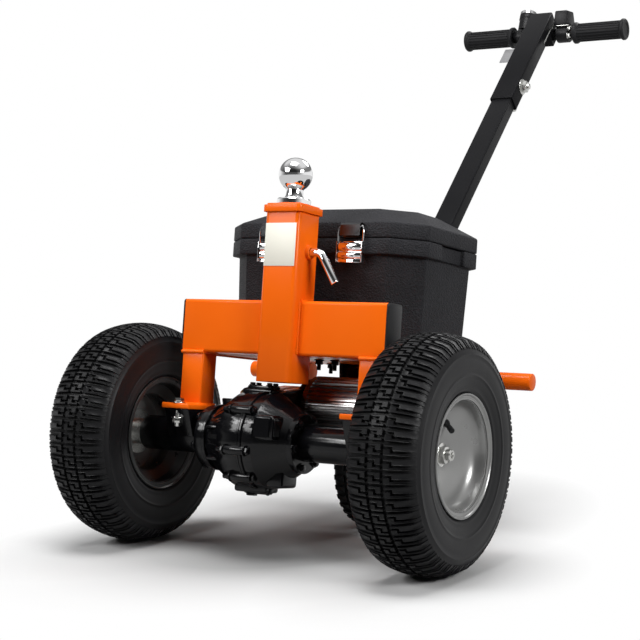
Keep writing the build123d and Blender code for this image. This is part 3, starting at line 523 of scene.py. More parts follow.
def pipe(name, points, radius, loop=False, ripple=0.0, sides=3):
    """A round bar along points in millimetres; a ripple swells every other point, as in a weld."""
    only()
    line = bpy.data.curves.new(name, "CURVE")
    line.dimensions = "3D"
    line.bevel_depth = radius * MM
    line.bevel_resolution = sides
    line.use_fill_caps = True
    spline = line.splines.new("POLY")
    spline.points.add(len(points) - 1)
    spline.use_cyclic_u = loop
    for index, (knot, point) in enumerate(zip(spline.points, points)):
        knot.co = (*(Vector(point) * MM), 1)
        knot.radius = 1 + ripple * (index % 2)
    piece = bpy.data.objects.new(name, line)
    bpy.context.scene.collection.objects.link(piece)
    only(piece)
    bpy.ops.object.convert(target="MESH")
    piece = bpy.context.object
    piece.name = name
    return piece


# %% Copies, joins and dressing
def copied(piece, place):
    """A copy with its own mesh, carried by a matrix."""
    twin = piece.copy()
    twin.data = piece.data.copy()
    bpy.context.scene.collection.objects.link(twin)
    twin.data.transform(place)
    return twin


def mirrored(piece):
    """Turn a right-hand piece into a left-hand one."""
    piece.data.transform(Matrix.Scale(-1, 4, (1, 0, 0)))
    pick_all(piece)
    bpy.ops.mesh.normals_make_consistent(inside=False)
    return done(piece)


def joined(name, pieces):
    """One piece from several, under a new name."""
    only(pieces[0])
    for piece in pieces[1:]:
        piece.select_set(True)
    if pieces[1:]:
        bpy.ops.object.join()
    pieces[0].name = name
    pieces[0].data.name = name
    return pieces[0]


def dress(piece, body, slot, *nodes, place=None, look=None, sharp=35):
    """Carry a piece into place, give it its finish, and let it ride on its body."""
    if place:
        piece.data.transform(place)
    piece.data.materials.clear()
    piece.data.materials.append(FINISH[look or slot])
    only(piece)
    bpy.ops.object.shade_smooth_by_angle(angle=math.radians(sharp))
    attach(piece, body)
    if nodes:
        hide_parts(*nodes)
    faces = sum(len(face.vertices) - 2 for face in piece.data.polygons)
    print(f"{piece.name}: {faces} triangles on {body}")
    return piece


# %% [markdown]
# ## Rounded edges on the solids
# A solid's edges are perfectly sharp, and nothing real is. Each tube and plate below is copied from its
# node, its loose triangles are merged into plain faces, and a Bevel modifier rounds its edges by a width
# that suits how it was made: folded sheet little, castings and moulded boxes more.

# %% A rounded copy
def rounded(node, width, segments=2, angle=32):
    """A copy of a node with the edges rounded that are sharper than an angle."""
    piece = copied(frame["nodes"][node], Matrix.Identity(4))
    piece.parent = None
    for key in list(piece.keys()):
        del piece[key]
    piece.name = node + "_rounded"
    pick_all(piece)
    bpy.ops.mesh.remove_doubles(threshold=1e-5)
    bpy.ops.mesh.dissolve_limited(angle_limit=math.radians(1))
    bpy.ops.object.mode_set(mode="OBJECT")
    edge = piece.modifiers.new("edges", "BEVEL")
    edge.width = width * MM
    edge.segments = segments
    edge.limit_method = "ANGLE"
    edge.angle_limit = math.radians(angle)
    bpy.ops.object.modifier_apply(modifier=edge.name)
    return piece


# %% The tubes, plates and castings that only need their edges
FINE_EDGE = 1.5  # up to this width, two segments make a round edge
EDGES = {  # node: width of the rounding in millimetres
    "mast": 1.0, "mast_cap": 1.6, "crossbar_left": 1.0, "crossbar_right": 1.0, "leg_left": 0.8,
    "leg_right": 0.8, "foot_plate_left": 1.5, "foot_plate_right": 1.5, "tray": 1.0, "cross_tube": 1.5,
    "lift_bar_left": 1.5, "lift_bar_right": 1.5, "axle_saddle_left": 2.0, "axle_saddle_right": 2.0,
    "crossbar_plug_left": 1.2, "crossbar_plug_right": 1.2, "battery_block": 3.0, "box_body": 2.2,
    "box_lid": 2.6, "hinge_leaves": 0.5, "lid_hinge_leaves": 0.5, "handle_bracket": 1.0,
    "handle_lower": 0.6, "handle_upper": 0.6, "bar_clamp": 1.5, "grip_bar": 1.0, "hitch_pin": 1.2,
    "name_plate": 0.4, "caster_mount": 1.2, "caster_fork": 1.2, "axle_tube_left": 1.0,
    "axle_tube_right": 1.0, "gear_case_left": 3.0, "gear_case_right": 3.0, "motor_cap": 1.0,
}
for node, width in EDGES.items():
    body = frame["nodes"][node]["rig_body"]
    dress(rounded(node, width, 3 if width > FINE_EDGE else 2), body, slot_of[node], node)
motor_looks = frame["nodes"]["drive_motor"].data.materials
motor_looks.clear()
motor_looks.append(FINISH["motor_aluminium"])
print(len(EDGES), "nodes rounded, and the finned motor keeps its solid")

# %% [markdown]
# ## Fasteners
# A bolt is a six-sided head with a chamfered top on a washer. One is modelled, and copies of it are turned
# to each place and joined, so that a whole set is one piece.

# %% Bolts
UP, DOWN = (0, 0, 1), (0, 0, -1)
RIGHT, LEFT, BACK = (1, 0, 0), (-1, 0, 0), (0, 1, 0)
WASHER, SEAT = 1.6, 1.5  # a washer's thickness, and where the head starts, just inside it


def bolts(name, places, across=13.0, height=5.0):
    """Hexagon heads at (point, direction) places in millimetres."""
    head = rod("head", across / math.sqrt(3), (0, 0, SEAT), (0, 0, SEAT + height), 0.8, sides=6)
    washer = rod("washer", across * 0.78, (0, 0, 0), (0, 0, WASHER), 0.4, sides=20)
    master = joined("bolt", [head, washer])
    heads = []
    for point, direction in places:
        turn = Vector(direction).to_track_quat("Z", "Y").to_matrix().to_4x4()
        heads.append(copied(master, Matrix.Translation(Vector(point) * MM) @ turn))
    bpy.data.objects.remove(master)
    return joined(name, heads)


def ring(radius, count, along, direction, start=0.0):
    """Places round the X axis."""
    angles = [start + 2 * math.pi * i / count for i in range(count)]
    return [((along, radius * math.cos(a), radius * math.sin(a)), direction) for a in angles]


# %% [markdown]
# ## Turf tyres
# A turf tyre has a soft round shoulder and three ribs of blocks, each block cut by a stepped slit, and the
# outer ribs run on over the shoulder as two bars to a row. The carcass is spun from its section. One row
# of blocks is modelled flat, copied fifty-six times along the tread, and then wrapped round, which is far
# easier than modelling on a curve.

# %% The section of the tyre
CROWN, ARCH = 168.0, 0.0046  # the tread's top in the middle, and how fast it falls to the sides
SHOULDER, SHOULDER_FALL = 40, 0.06  # where the shoulder starts, and how fast it falls away
GROOVE, GROOVE_END, GROOVE_RISE, GROOVE_LEAST = 6.0, 38, 0.36, 1.2
ROWS = 56
PITCH = 2 * math.pi * CROWN / ROWS
SIDEWALL = [
    (43.4, 76.4), (43.6, 81), (45.2, 85.6), (47.2, 88.4), (48.8, 90.6), (49.2, 92.4), (49.0, 94.0),
    (50.4, 98), (52.0, 106), (52.5, 109.4), (53.2, 110.1), (53.3, 111.2), (52.9, 112), (53.2, 115),
    (53.8, 124), (53.6, 132), (53.0, 137.6), (53.4, 138.4), (53.2, 139.5), (52.5, 140.2), (51.4, 145),
    (48.8, 150), (44.5, 154),
]


def crown(x):
    """Height of the tread's top across the tyre."""
    return CROWN - ARCH * x * x - SHOULDER_FALL * max(0, x - SHOULDER) ** 2


def groove(x):
    """Depth of the grooves, running out on the shoulder."""
    return GROOVE if x < GROOVE_END else max(GROOVE_LEAST, GROOVE - GROOVE_RISE * (x - GROOVE_END))


base = [(x, crown(x) - groove(x)) for x in (38, 30, 20, 10, 0)]
half = SIDEWALL + base
profile = half + [(-x, radius) for x, radius in reversed(half[:-1])]
carcass = turned("carcass", profile, 120)
print("carcass", len(carcass.data.vertices), "vertices, row pitch", round(PITCH, 2), "mm")


# %% One row of blocks, flat
CHAMFER = 0.09  # rise of a block's chamfered top above its one millimetre


def tile(points, bevel=0.5):
    """A block of the tread standing on z = 0, one millimetre high before it is wrapped."""
    piece = traced([(x, y, 0) for x, y in [*points, points[0]]])
    bpy.ops.mesh.select_all(action="SELECT")
    bpy.ops.mesh.remove_doubles(threshold=1e-6)
    bpy.ops.mesh.edge_face_add()
    bpy.ops.mesh.normals_make_consistent(inside=False)
    bpy.ops.mesh.extrude_region_move(TRANSFORM_OT_translate={"value": (0, 0, MM)})
    bpy.ops.mesh.inset(thickness=bevel * MM, depth=CHAMFER * MM)
    bpy.ops.mesh.select_all(action="SELECT")
    bpy.ops.mesh.normals_make_consistent(inside=False)
    return done(piece)


RIBS = [(-51.5, -13.5), (-9, 9), (13.5, 51.5)]
STEP_AT = [-23.5, 0.0, 23.5]
ROW_GAP = 4.3
BLOCK = PITCH - ROW_GAP
HIGH, LOW, SLIT = 0.68 * BLOCK, 0.32 * BLOCK, 1.8  # the slit left and right of its step, and half its width


def run(start, end, height):
    """Points across the tyre at one height, close enough to bend over the shoulder."""
    count = max(1, round(abs(end - start) / 7))
    return [(start + (end - start) * i / count, height) for i in range(count + 1)]


row = []
for (left, right), step in zip(RIBS, STEP_AT):
    near, far = step - SLIT, step + SLIT
    row.append(tile(run(left, right, 0) + run(right, near, LOW - SLIT) + run(near, left, HIGH - SLIT)))
    row.append(tile(run(left, far, HIGH + SLIT) + run(far, right, LOW + SLIT) + run(right, left, BLOCK)))
tread_row = joined("tread_row", row)
print("one row:", len(tread_row.data.polygons), "faces")


# %% Wrap the tread and fit both tyres
SINK = 1.08  # a block reaches this share of the groove's depth, so that its foot is in the carcass
TILE_TOP = 1 + CHAMFER


def wrapped(piece, top, depth):
    """Bend (across, along, height) into a ring about X, each block from its foot to the crown."""
    for vertex in piece.data.vertices:
        across, along, rise = vertex.co / MM
        angle = -along / top(0)
        drop = depth(abs(across)) * SINK * (1 - min(rise, TILE_TOP) / TILE_TOP)
        radius = top(abs(across)) - drop
        vertex.co = Vector((across, radius * math.cos(angle), radius * math.sin(angle))) * MM
    return piece


def arrayed(piece, count, pitch):
    """Copies in a row along Y, by an Array modifier that is applied."""
    repeat = piece.modifiers.new("round the tyre", "ARRAY")
    repeat.count = count
    repeat.use_relative_offset = False
    repeat.use_constant_offset = True
    repeat.constant_offset_displace = (0, pitch * MM, 0)
    only(piece)
    bpy.ops.object.modifier_apply(modifier=repeat.name)
    return piece


tread = wrapped(arrayed(tread_row, ROWS, PITCH), crown, groove)
for side, middle in wheel_middle.items():
    place = Matrix.Translation(middle)
    tyre = joined(f"turf_tyre_{side}", [copied(carcass, place), copied(tread, place)])
    dress(tyre, f"drive_wheel_{side}", "tyre_rubber", f"tyre_{side}", sharp=40)
bpy.data.objects.remove(carcass)
bpy.data.objects.remove(tread)

# %% [markdown]
# ## Rims and hubs
# A pressed steel rim: a double-rolled lip, a drop centre and a deep bowl. The section is closed and spun. A
# nut sits deep in the bowl with the drilled end of the shaft in front of it, and a black valve leans
# inwards.

# %% Rims
RIM = [
    (47.4, 86.0), (46.1, 85.0), (46.0, 77.6), (28, 76.6), (19, 62), (-19, 62), (-28, 76.6), (-46.0, 77.6),
    (-46.1, 85.0), (-47.4, 86.0), (-48.8, 85.4), (-49.0, 84.4), (-48.0, 83.4), (-46.2, 82.4), (-45.6, 81.4),
    (-46.0, 80.2), (-45.2, 78.6), (-42.4, 76.2), (-28.6, 73.4), (-19.6, 59.4), (8.6, 59), (10.4, 50),
    (9.6, 36), (8.8, 28), (8.8, 11.4), (12.4, 11.4), (12.4, 24), (13.0, 30), (14.2, 37), (16.2, 46),
    (18.8, 55), (21.8, 62.4), (25.6, 68.4), (30.4, 72.2), (36, 74.2), (41.4, 75.4), (43.4, 76.6),
    (44.2, 78.2), (45.8, 78.8), (46.4, 80.2), (45.8, 81.4), (46.4, 82.4), (48.0, 83.2), (49.0, 84.4),
    (48.8, 85.4),
]
for side, sign in SIDES:
    place = Matrix.Translation(wheel_middle[side])
    rim = turned(f"pressed_rim_{side}", [(sign * x, radius) for x, radius in RIM], 96)
    dress(rim, f"drive_wheel_{side}", "rim_grey", f"rim_{side}", place=place, sharp=28)

# %% Hubs, nuts and valves
SHAFT = [
    (-70, 0), (-70, 14), (-17, 14), (-17, 20), (1, 20), (1, 34), (8.6, 34), (8.6, 11), (12, 11), (13, 8.2),
    (27.4, 8.2), (28.8, 7.2), (28.8, 4.4), (28, 3.8), (22, 3.6), (21, 0),
]
VALVE = [
    (-2, 0), (-2, 5.2), (3, 5), (6, 3.8), (15, 3.6), (16, 2.8), (17, 4), (26, 4), (27, 3.2), (27, 0),
]
VALVE_FOOT, VALVE_TIP = Vector((16, 6.4, 43)), Vector((34, -11.2, 35))


def hub(name):
    """The hub's flange and shaft behind the disc, a nut in the bowl, and the shaft's drilled end."""
    shaft = turned("shaft", SHAFT, 48)
    nut = rod("nut", 13.2, (13.4, 0, 0), (21.4, 0, 0), 1.0, sides=6)
    washer = rod("washer", 16.5, (12.2, 0, 0), (13.8, 0, 0), 0.5, sides=40)
    return joined(name, [shaft, nut, washer])


def valve(name):
    """A rubber valve that leans from the bowl towards the wheel's middle."""
    piece = turned(name, VALVE, 24)
    aim = (VALVE_TIP - VALVE_FOOT).to_track_quat("X", "Z").to_matrix().to_4x4()
    piece.data.transform(Matrix.Translation(VALVE_FOOT * MM) @ aim)
    return piece


for side, sign in SIDES:
    place = Matrix.Translation(wheel_middle[side])
    body = f"drive_wheel_{side}"
    spindle = hub(f"hub_nut_{side}")
    stem = valve(f"valve_{side}")
    if sign < 0:
        mirrored(spindle)
        mirrored(stem)
    dress(spindle, body, "zinc_steel", f"hub_{side}", place=place)
    dress(stem, body, "black_plastic", place=place)

# %% [markdown]
# ## Tow ball
# The ball is turned from one bar and chromed: a flat foot, a waisted neck and a sphere with a small flat on
# top. Half its outline is traced and spun, and the outline runs from axis to axis, so both poles close.

# %% Ball
UPRIGHT = Matrix.Rotation(math.radians(-90), 4, "Y")
BALL_MIDDLE, BALL_RADIUS = 393.5, 25.4
MAST_LINE = CHASSIS @ Matrix.Translation((0, 0.002, 0))
outline = [(348, 0), (348, 24.6), (349, 25.5), (355.2, 25.5), (356.8, 24.4), (357.4, 17.5), (359, 14.6),
           (362, 13.2), (370.6, 12.9)]
for step in range(-56, 73, 8):
    tilt = math.radians(step)
    outline.append((BALL_MIDDLE + BALL_RADIUS * math.sin(tilt), BALL_RADIUS * math.cos(tilt)))
outline.append((outline[-1][0], 0))
ball = turned("chrome_ball", outline, 64)
dress(ball, "chassis", "chrome", "tow_ball", place=MAST_LINE @ UPRIGHT, sharp=28)

# %% [markdown]
# ## Draw latches
# Each latch is a chromed sheet base with folded sides, a corrugated lever on a pin, and a wire bail that
# pulls a hook on the lid down. The corrugations are what break up the reflections in the photograph, so
# they are in the lever's outline. The hooks belong to the lid and swing away with it.

# %% Latches and hooks
LATCH_OFFSET = 70
LEVER = [
    (53.2, 300), (51.4, 298.6), (50.2, 295.5), (50.2, 291), (51.2, 288.2), (52.6, 286.6), (51.2, 285),
    (50.2, 282), (50.2, 279), (51.2, 276.4), (52.6, 275), (51.2, 273.6), (50.8, 270.4),
]
LEVER_SHEET = 1.4
LEVER_BULGE, BULGE_SHIFT, BULGE_CUT = 0.0045, 8, 3  # how far the sides fall back, from where, in what steps
HOOK = [
    (61, 308), (61, 328.6), (57, 329.6), (52.6, 328.6), (50.4, 325.6), (50.4, 309.5), (51.8, 309.5),
    (51.8, 325), (53.6, 327), (57, 327.9), (59.5, 327.3), (59.5, 308),
]
BAIL = [(-19.6, 55, 293), (-20.8, 54.4, 303), (-21.2, 54.2, 314), (-20.4, 54.4, 320.5), (-18, 55, 324.2)]
hooks = []


def bulged(lever, middle):
    """Divide a lever across its width and let its sides fall back, so that it throws light to both sides."""
    for cut in range(-5, 6):
        pick_all(lever)
        bpy.ops.mesh.bisect(plane_co=((middle + BULGE_CUT * cut) * MM, 0, 0), plane_no=(1, 0, 0))
        done(lever)
    for vertex in lever.data.vertices:
        vertex.co.y += LEVER_BULGE * (vertex.co.x / MM - middle + BULGE_SHIFT) ** 2 * MM
    return lever


for side, sign in SIDES:
    middle = sign * LATCH_OFFSET
    lever_back = [(y + LEVER_SHEET, z) for y, z in reversed(LEVER)]
    parts = [
        block("base", (middle - 22, 58, 270), (middle + 22, 61, 302), 0.9),
        bulged(slab("lever", LEVER + lever_back, middle - 18.5, middle + 18.5), middle),
        rod("pin", 2.1, (middle - 21.6, 55.4, 297), (middle + 21.6, 55.4, 297), 0.6, 16),
    ]
    for end in (-1, 1):
        wall = sorted((middle + end * 20.6, middle + end * 22))
        parts.append(block("side", (wall[0], 50.6, 270), (wall[1], 58.5, 301), 0.5))
    loop = BAIL + [(-x, y, z) for x, y, z in reversed(BAIL)]
    parts.append(pipe("bail", [(middle + x, y, z) for x, y, z in loop], 1.5, sides=4))
    if side == "left":
        turns = [math.pi * i / 10 for i in range(20)]
        eye = [(middle + 10 + 5.2 * math.sin(a), 49.4 - 1.2 * math.sin(a), 289 + 5.2 * math.cos(a))
               for a in turns]
        parts.append(pipe("lock_ring", eye, 0.8, loop=True))
    latch = joined(f"draw_latch_{side}", parts)
    dress(latch, "chassis", "chrome", f"latch_{side}", place=CHASSIS, sharp=30)
    hooks.append(slab("hook", HOOK, middle - 17, middle + 17))
keepers = joined("lid_hooks", hooks)
dress(keepers, "lid", "satin_black", "latch_keepers", place=CHASSIS, look="dark_steel", sharp=25)

# %% [markdown]
# ## Welds, label and frame bolts
# The frame is tube welded to tube. A weld is a bead of overlapping puddles, so it is a round bar whose
# radius swells at every other point. The label on the mast stays blank. Long bolts clamp the foot plates
# to the axle.

# %% Weld beads
# The faces of the tubes, upright from the axle.
MAST_SIDE, MAST_FRONT, MAST_BACK, MAST_END = 30, -28, 32, 335
LEG_INNER, LEG_OUTER, LEG_FRONT, LEG_BACK, LEG_FOOT, LEG_HEAD = 135, 174, -12, 24, 47, 126
BAR_LOW, BAR_TOP = 128, 206
WANDER = 0.25


def bead(corners, radius=2.0, step=2.4):
    """A weld along corner points in millimetres, with a slight wander."""
    points = []
    for before, after in zip(corners, corners[1:]):
        before, after = Vector(before), Vector(after)
        count = max(2, round((after - before).length / step))
        points += [before.lerp(after, i / count) for i in range(count)]
    points.append(Vector(corners[-1]))
    for i, point in enumerate(points):
        point += Vector((math.sin(i * 1.7), math.sin(i * 2.3), math.sin(i * 3.1))) * WANDER
    return pipe("bead", points, radius, ripple=0.3, sides=2)


beads = []
for side, sign in SIDES:
    mast, near, far = sign * MAST_SIDE, sign * LEG_INNER, sign * LEG_OUTER
    foot = [(near, LEG_FRONT), (far, LEG_FRONT), (far, LEG_BACK), (near, LEG_BACK), (near, LEG_FRONT)]
    beads += [
        bead([(mast, LEG_FRONT, BAR_LOW), (mast, LEG_FRONT, BAR_TOP - 2)]),
        bead([(mast, LEG_FRONT + 2, BAR_TOP), (mast, LEG_BACK + 3, BAR_TOP)]),
        bead([(x, y, LEG_HEAD) for x, y in foot[:3]], 2.8),
        bead([(x, y, LEG_FOOT) for x, y in foot]),
        bead([(near, LEG_BACK, LEG_HEAD), (near, LEG_FRONT + 2, LEG_HEAD)]),
    ]
for edge in (MAST_FRONT, MAST_BACK):
    reach = MAST_SIDE - 4
    beads.append(bead([(-reach, edge, MAST_END), (reach, edge, MAST_END)], 1.5))
dress(joined("weld_beads", beads), "chassis", "orange_paint", place=CHASSIS, sharp=60)

# %% Label and clamp bolts
FOOT_BOLTS = [(sign * 154.5, y) for side, sign in SIDES for y in (-39, 39)]
TRAY_BOLTS = [(x, 100) for x in (1, 29, -58, 88)] + [(x, 262) for x in (-75, 75)]
TRAY_FLOOR = 126
label = block("blank_label", (-26.5, -28.5, 255), (26.5, -27.6, 318), 0.25)
dress(label, "chassis", "plain_plate", place=CHASSIS, look="cream_label")
stems = [rod("stem", 4.6, (x, y, 12), (x, y, 40), 0.8, 20) for x, y in FOOT_BOLTS]
heads = bolts("heads", [((x, y, LEG_FOOT), UP) for x, y in FOOT_BOLTS], 13, 6)
nuts = bolts("nuts", [((x, y, 26), DOWN) for x, y in FOOT_BOLTS], 13, 7)
dress(joined("foot_bolts", [heads, nuts, *stems]), "chassis", "zinc_steel", place=CHASSIS)
ends = [rod("end", 3.2, (x, y, TRAY_FLOOR), (x, y, 110), 0.7, 16) for x, y in TRAY_BOLTS]
heads = bolts("heads", [((x, y, TRAY_FLOOR), DOWN) for x, y in TRAY_BOLTS], 10, 6)
dress(joined("tray_bolts", [heads, *ends]), "chassis", "satin_black", place=CHASSIS)

# %% [markdown]
# ## Gear case
# The drive is an iron casting in two halves, pulled together by long bolts through lugs on a raised band.
# The rounded solid stays below as the case's body. The band is spun, one lug with its bolt is modelled and
# copied round, and the covers, pads and ribs of the casting are bevelled blocks that sink into it.

# %% Band, lugs and flange bolts
BAND = [
    (-26, 66), (-26, 71.6), (-25, 72.4), (-22.6, 72.4), (-22, 71.4), (-21.4, 72.4), (-19, 72.4),
    (-18, 71.6), (-18, 66),
]
ring_parts = [
    turned("band", BAND, 96),
    turned("right_ring", [(41, 36), (41, 42.6), (42.2, 43.6), (48.6, 43.6), (50, 42.4), (50, 36)], 48),
    turned("left_ring", [(-98, 44), (-98, 48.6), (-99, 49.4), (-102, 49.4), (-103, 48.6), (-103, 44)], 48),
]
lug = joined("lug", [
    rod("lug_body", 6.6, (-44, 0, 72), (-10, 0, 72), 1.6, 24),
    rod("lug_bolt", 4.0, (-58, 0, 72), (-2, 0, 72), 1.0, 20),
    bolts("lug_heads", [((-10, 0, 72), RIGHT), ((-44, 0, 72), LEFT)], 10, 6),
    block("lug_web", (-42, -5, 52), (-12, 5, 71), 1.6),
])
for degrees in (53, 102, 138, 178, 236, 290):
    ring_parts.append(copied(lug, Matrix.Rotation(math.radians(degrees), 4, "X")))
bpy.data.objects.remove(lug)
ring_parts.append(bolts("flange_bolts", ring(42.5, 6, -101, RIGHT, 0.3), 9, 5))
ring_parts.append(bolts("flange_nuts", ring(42.5, 6, -117, LEFT, 0.3), 9, 5))
ring_parts.append(bolts("neck_bolts", ring(36.5, 6, 50, RIGHT, 0.2), 9, 4.5))
dress(joined("case_rings", ring_parts), "chassis", "gloss_black", place=CHASSIS)

# %% Covers, pads and ribs
port = block("port", (-2, -67, 2), (33, -36, 38), 5.0, 3)
pick_faces(port, lambda middle, normal: normal.y < -0.9)
bpy.ops.mesh.inset(thickness=3.5 * MM, depth=0)
bpy.ops.mesh.inset(thickness=1.5 * MM, depth=-3 * MM)
done(port)
cast_parts = [
    port,
    block("top_pad", (-66, -4, 50), (-12, 32, 76), 3.5, 3),
    block("top_cover", (-60, 1, 74), (-18, 27, 80), 1.6),
    block("foot_pad", (-60, -18, -76), (-4, 18, -58), 4.0, 3),
    block("right_pad", (2, -30, -66), (30, 14, -40), 5.0, 3),
]
for step in range(5):
    y = -63 + 3.2 * step
    cast_parts.append(rod("port_rib", 1.1, (33.4, y, 8), (33.4, y, 33), 0.5, 12))
for degrees in (20, 75, 120, 200, 250, 330):
    rib = slab("rib", [(-3, 40), (3, 40), (2, 62), (-2, 62)], -88, -60, 0.8)
    rib.data.transform(Matrix.Rotation(math.radians(degrees), 4, "X"))
    cast_parts.append(rib)
cover_corners = [((x, y, 80), UP) for x in (-54, -24) for y in (6, 22)]
cast_parts.append(bolts("cover_bolts", cover_corners, 7, 3.4))
cast_parts.append(bolts("drain", [((-39, 0, -75), DOWN)], 14, 5))
dress(joined("case_castings", cast_parts), "chassis", "gloss_black", place=CHASSIS)
plug = joined("breather", [bolts("breather_head", [((-66, 12, 68), LEFT)], 12, 7),
                           rod("breather_stub", 3.4, (-78, 12, 68), (-70, 12, 68), 1.0, 16)])
dress(plug, "chassis", "zinc_steel", place=CHASSIS, look="brass")

# %% Motor studs
MOTOR = CHASSIS @ Matrix.Translation((0, 0.1, 0.05))
studs = bolts("motor_studs", ring(40, 4, 124, RIGHT, 0.8), 8, 4)
dress(studs, "chassis", "zinc_steel", place=MOTOR)

# %% [markdown]
# ## Handle fittings
# Everything on the grip bar is modelled about that bar: moulded grips with lengthwise ribs and flared ends,
# a round gauge with a chrome bezel, and a small throttle box on a steel strap. The pod and the box stand
# nearly upright, so their place undoes the handle's slope.

# %% Grips
GRIP_BAR = HANDLE @ Matrix.Translation((0, 0.0265, 0.844))
ABOVE_BAR = GRIP_BAR @ Matrix.Rotation(math.atan2(slide_axis.y, slide_axis.z), 4, "X")
HOSE = [
    (166.2, 0), (166.2, 11.2), (63.4, 11.2), (63.4, 19.2), (64.8, 20.8), (69, 20.8), (71.5, 19.4),
    (73.4, 17), (80, 16.6), (156, 16.6), (159.6, 17.6), (161.6, 20), (163.4, 20.8), (166.4, 20.6),
    (168.4, 19), (168.8, 16.4), (168.2, 13.6), (167, 12.6), (167, 0),
]
GRIP_RIBS = 20
for side, sign in SIDES:
    hose = turned("hose", HOSE, 64)
    rib = block("rib", (73, -1.25, 15.6), (160, 1.25, 17.9), 0.8, 2)
    turns = [2 * math.pi * i / GRIP_RIBS for i in range(GRIP_RIBS)]
    ribs = [copied(rib, Matrix.Rotation(turn, 4, "X")) for turn in turns]
    bpy.data.objects.remove(rib)
    grip = joined(f"ribbed_grip_{side}", [hose, *ribs])
    if sign < 0:
        mirrored(grip)
    dress(grip, "handle_top", "grip_rubber", f"grip_{side}", place=GRIP_BAR, sharp=40)

# %% Gauge pod
AT_POD = ABOVE_BAR @ Matrix.Translation((-0.043, 0, 0))
TILTED = Matrix.Rotation(math.radians(-25), 4, "X") @ UPRIGHT
COLLAR = [
    (-11, 11.1), (-11, 16.2), (-10, 17), (-1.2, 17), (-0.6, 16.2), (0.6, 16.2), (1.2, 17), (10, 17),
    (11, 16.2), (11, 11.1),
]
CUP = [
    (12, 0), (12, 15.6), (30, 16.2), (36, 16.4), (37.4, 17.4), (46.6, 17.4), (47, 16.4), (47, 13),
    (48.6, 11), (49.6, 6), (49.8, 0),
]
BEZEL = [
    (46.8, 17.45), (52.6, 17.45), (53.9, 16.2), (53.9, 14.2), (52.4, 12.8), (47.2, 12.6), (46.8, 13),
]
collar = turned("collar", COLLAR, 48)
cup = turned("cup", CUP, 56)
cup.data.transform(TILTED)
ear = slab("ear", [(-13, 10), (-7, 17), (6, 17), (9, 10)], 9.5, 13)
pod = joined("gauge_cup", [collar, cup, ear])
dress(pod, "handle_top", "black_plastic", "gauge_pod", place=AT_POD, sharp=30)
bezel = turned("gauge_bezel", BEZEL, 56)
bezel.data.transform(TILTED)
screw = bolts("pod_screw", [((13, -2, 13.5), RIGHT)], 8, 4)
dress(joined("gauge_bezel", [bezel, screw]), "handle_top", "chrome", place=AT_POD, sharp=30)

# %% Throttle box
AT_BOX = ABOVE_BAR @ Matrix.Translation((0.0415, 0, 0))
shell = block("shell", (-16, -18, 15), (16, 18, 44))
pick_faces(shell, lambda middle, normal: normal.z > 0.9)
bpy.ops.transform.resize(value=(25 / 32, 0.94, 1))
bpy.ops.mesh.select_all(action="SELECT")
bpy.ops.mesh.bevel(offset=2.2 * MM, segments=3, affect="EDGES")
done(shell)
collar = turned("collar", [(-12, 11.1), (-12, 16.2), (-11, 17), (11, 17), (12, 16.2), (12, 11.1)], 48)
neck = block("neck", (-10, -11, 8), (10, 11, 14.5), 1.2)
case = joined("throttle_case", [shell, collar, neck])
dress(case, "handle_top", "black_plastic", "throttle_box", place=AT_BOX)
strap = block("strap", (-17, -18.6, 13.2), (16.6, 18.6, 15), 0.5)
nuts = bolts("strap_nuts", [((12, -9, 9), RIGHT), ((12, -12, -5), RIGHT)], 8, 5)
dress(joined("throttle_strap", [strap, nuts]), "handle_top", "zinc_steel", place=AT_BOX)

# %% Clamp bolt, stop screw and link rod
knob = joined("sleeve_clamp_bolt", [bolts("knob", [((23, 0, 649), RIGHT)], 19, 9),
                                    rod("knob_end", 5.2, (30, 0, 649), (38.6, 0, 649), 1.2, 24)])
dress(knob, "handle_top", "zinc_steel", "clamp_knob", place=HANDLE)
small = [bolts("stop_screw", [((14, 15.5, 607), BACK)], 9, 5),
         pipe("link_rod", [(21.6, 5.4, 786), (21.6, 6.2, 820), (21.6, 7.4, 852)], 1.3)]
dress(joined("sleeve_hardware", small), "handle_top", "zinc_steel", place=HANDLE)
cheek = [((sign * 25, 0, rise), (sign, 0, 0)) for side, sign in SIDES for rise in (22, 60)]
dress(bolts("bracket_bolts", cheek, 13, 6), "chassis", "zinc_steel", place=HANDLE)

# %% [markdown]
# ## Swivel wheel
# A small pneumatic wheel in the fork. Its tread is two rows of staggered lugs, wrapped by the same function
# as the large tyres but with its own crown. The rim is a pale dished pressing.

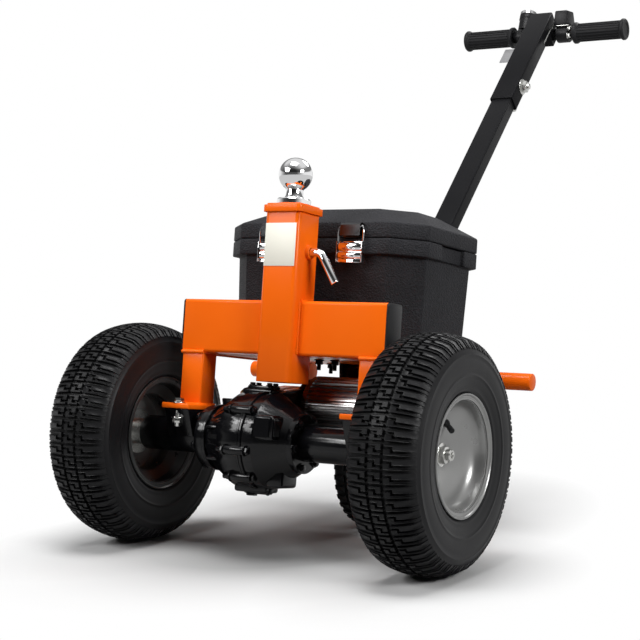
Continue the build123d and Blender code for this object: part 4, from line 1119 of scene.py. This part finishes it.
# %% Swivel wheel's tyre and rim
AT_CASTER = Matrix.Translation(joints["caster_spin"]["pos_m"])
CASTER_ROWS, CASTER_CROWN, CASTER_ARCH, CASTER_GROOVE = 36, 100.0, 0.0075, 5.0
CASTER_PITCH = 2 * math.pi * CASTER_CROWN / CASTER_ROWS
CASTER_HALF = [
    (19.8, 66.2), (20.6, 69), (21.8, 73), (22.8, 80), (22.7, 87), (21.4, 92.4), (18, 95), (10, 95.8),
    (0, 96),
]
DISH = [
    (20, 66), (21.4, 65.4), (21.6, 63.6), (20.2, 62.2), (17, 61), (11, 57.5), (7, 51), (5.6, 44),
    (5.6, 30), (7.5, 25), (9, 21), (19, 18), (20, 17), (20, 6.4),
]
CASTER_LUG = [(1.6, 0), (20.6, 2.2), (20.6, 10.4), (8, 9.2), (1.6, 11.6)]
section = CASTER_HALF + [(-x, radius) for x, radius in reversed(CASTER_HALF[:-1])]
carcass = turned("carcass", section, 96)


def caster_crown(x):
    """Height of the small tyre's lugs across its width."""
    return CASTER_CROWN - CASTER_ARCH * x * x


lugs = []
for side, sign in SIDES:
    shift = 0.0 if sign < 0 else CASTER_PITCH / 2
    corners = [(sign * x, shift + y) for x, y in CASTER_LUG]
    lugs.append(tile(corners[::sign]))
lug_rows = arrayed(joined("lug_rows", lugs), CASTER_ROWS, CASTER_PITCH)
wrapped(lug_rows, caster_crown, lambda x: CASTER_GROOVE)
tyre = joined("swivel_tyre", [carcass, lug_rows])
dress(tyre, "swivel_wheel", "tyre_rubber", "caster_tyre", place=AT_CASTER, sharp=40)
pressing = turned("swivel_rim", DISH + [(-x, radius) for x, radius in reversed(DISH)], 72)
dress(pressing, "swivel_wheel", "caster_grey", "caster_rim", place=AT_CASTER, sharp=28)
axle_low, axle_high = (corner[0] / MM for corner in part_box("caster_axle"))
pin = joined("swivel_axle", [
    rod("pin", 6, (axle_low + 3, 0, 0), (axle_high - 3, 0, 0), 0.8, 32),
    bolts("pin_ends", [((36, 0, 0), RIGHT), ((-36, 0, 0), LEFT)], 15, 7),
])
dress(pin, "swivel_fork", "zinc_steel", "caster_axle", place=AT_CASTER)
print("swivel axle from", round(axle_low, 1), "to", round(axle_high, 1))
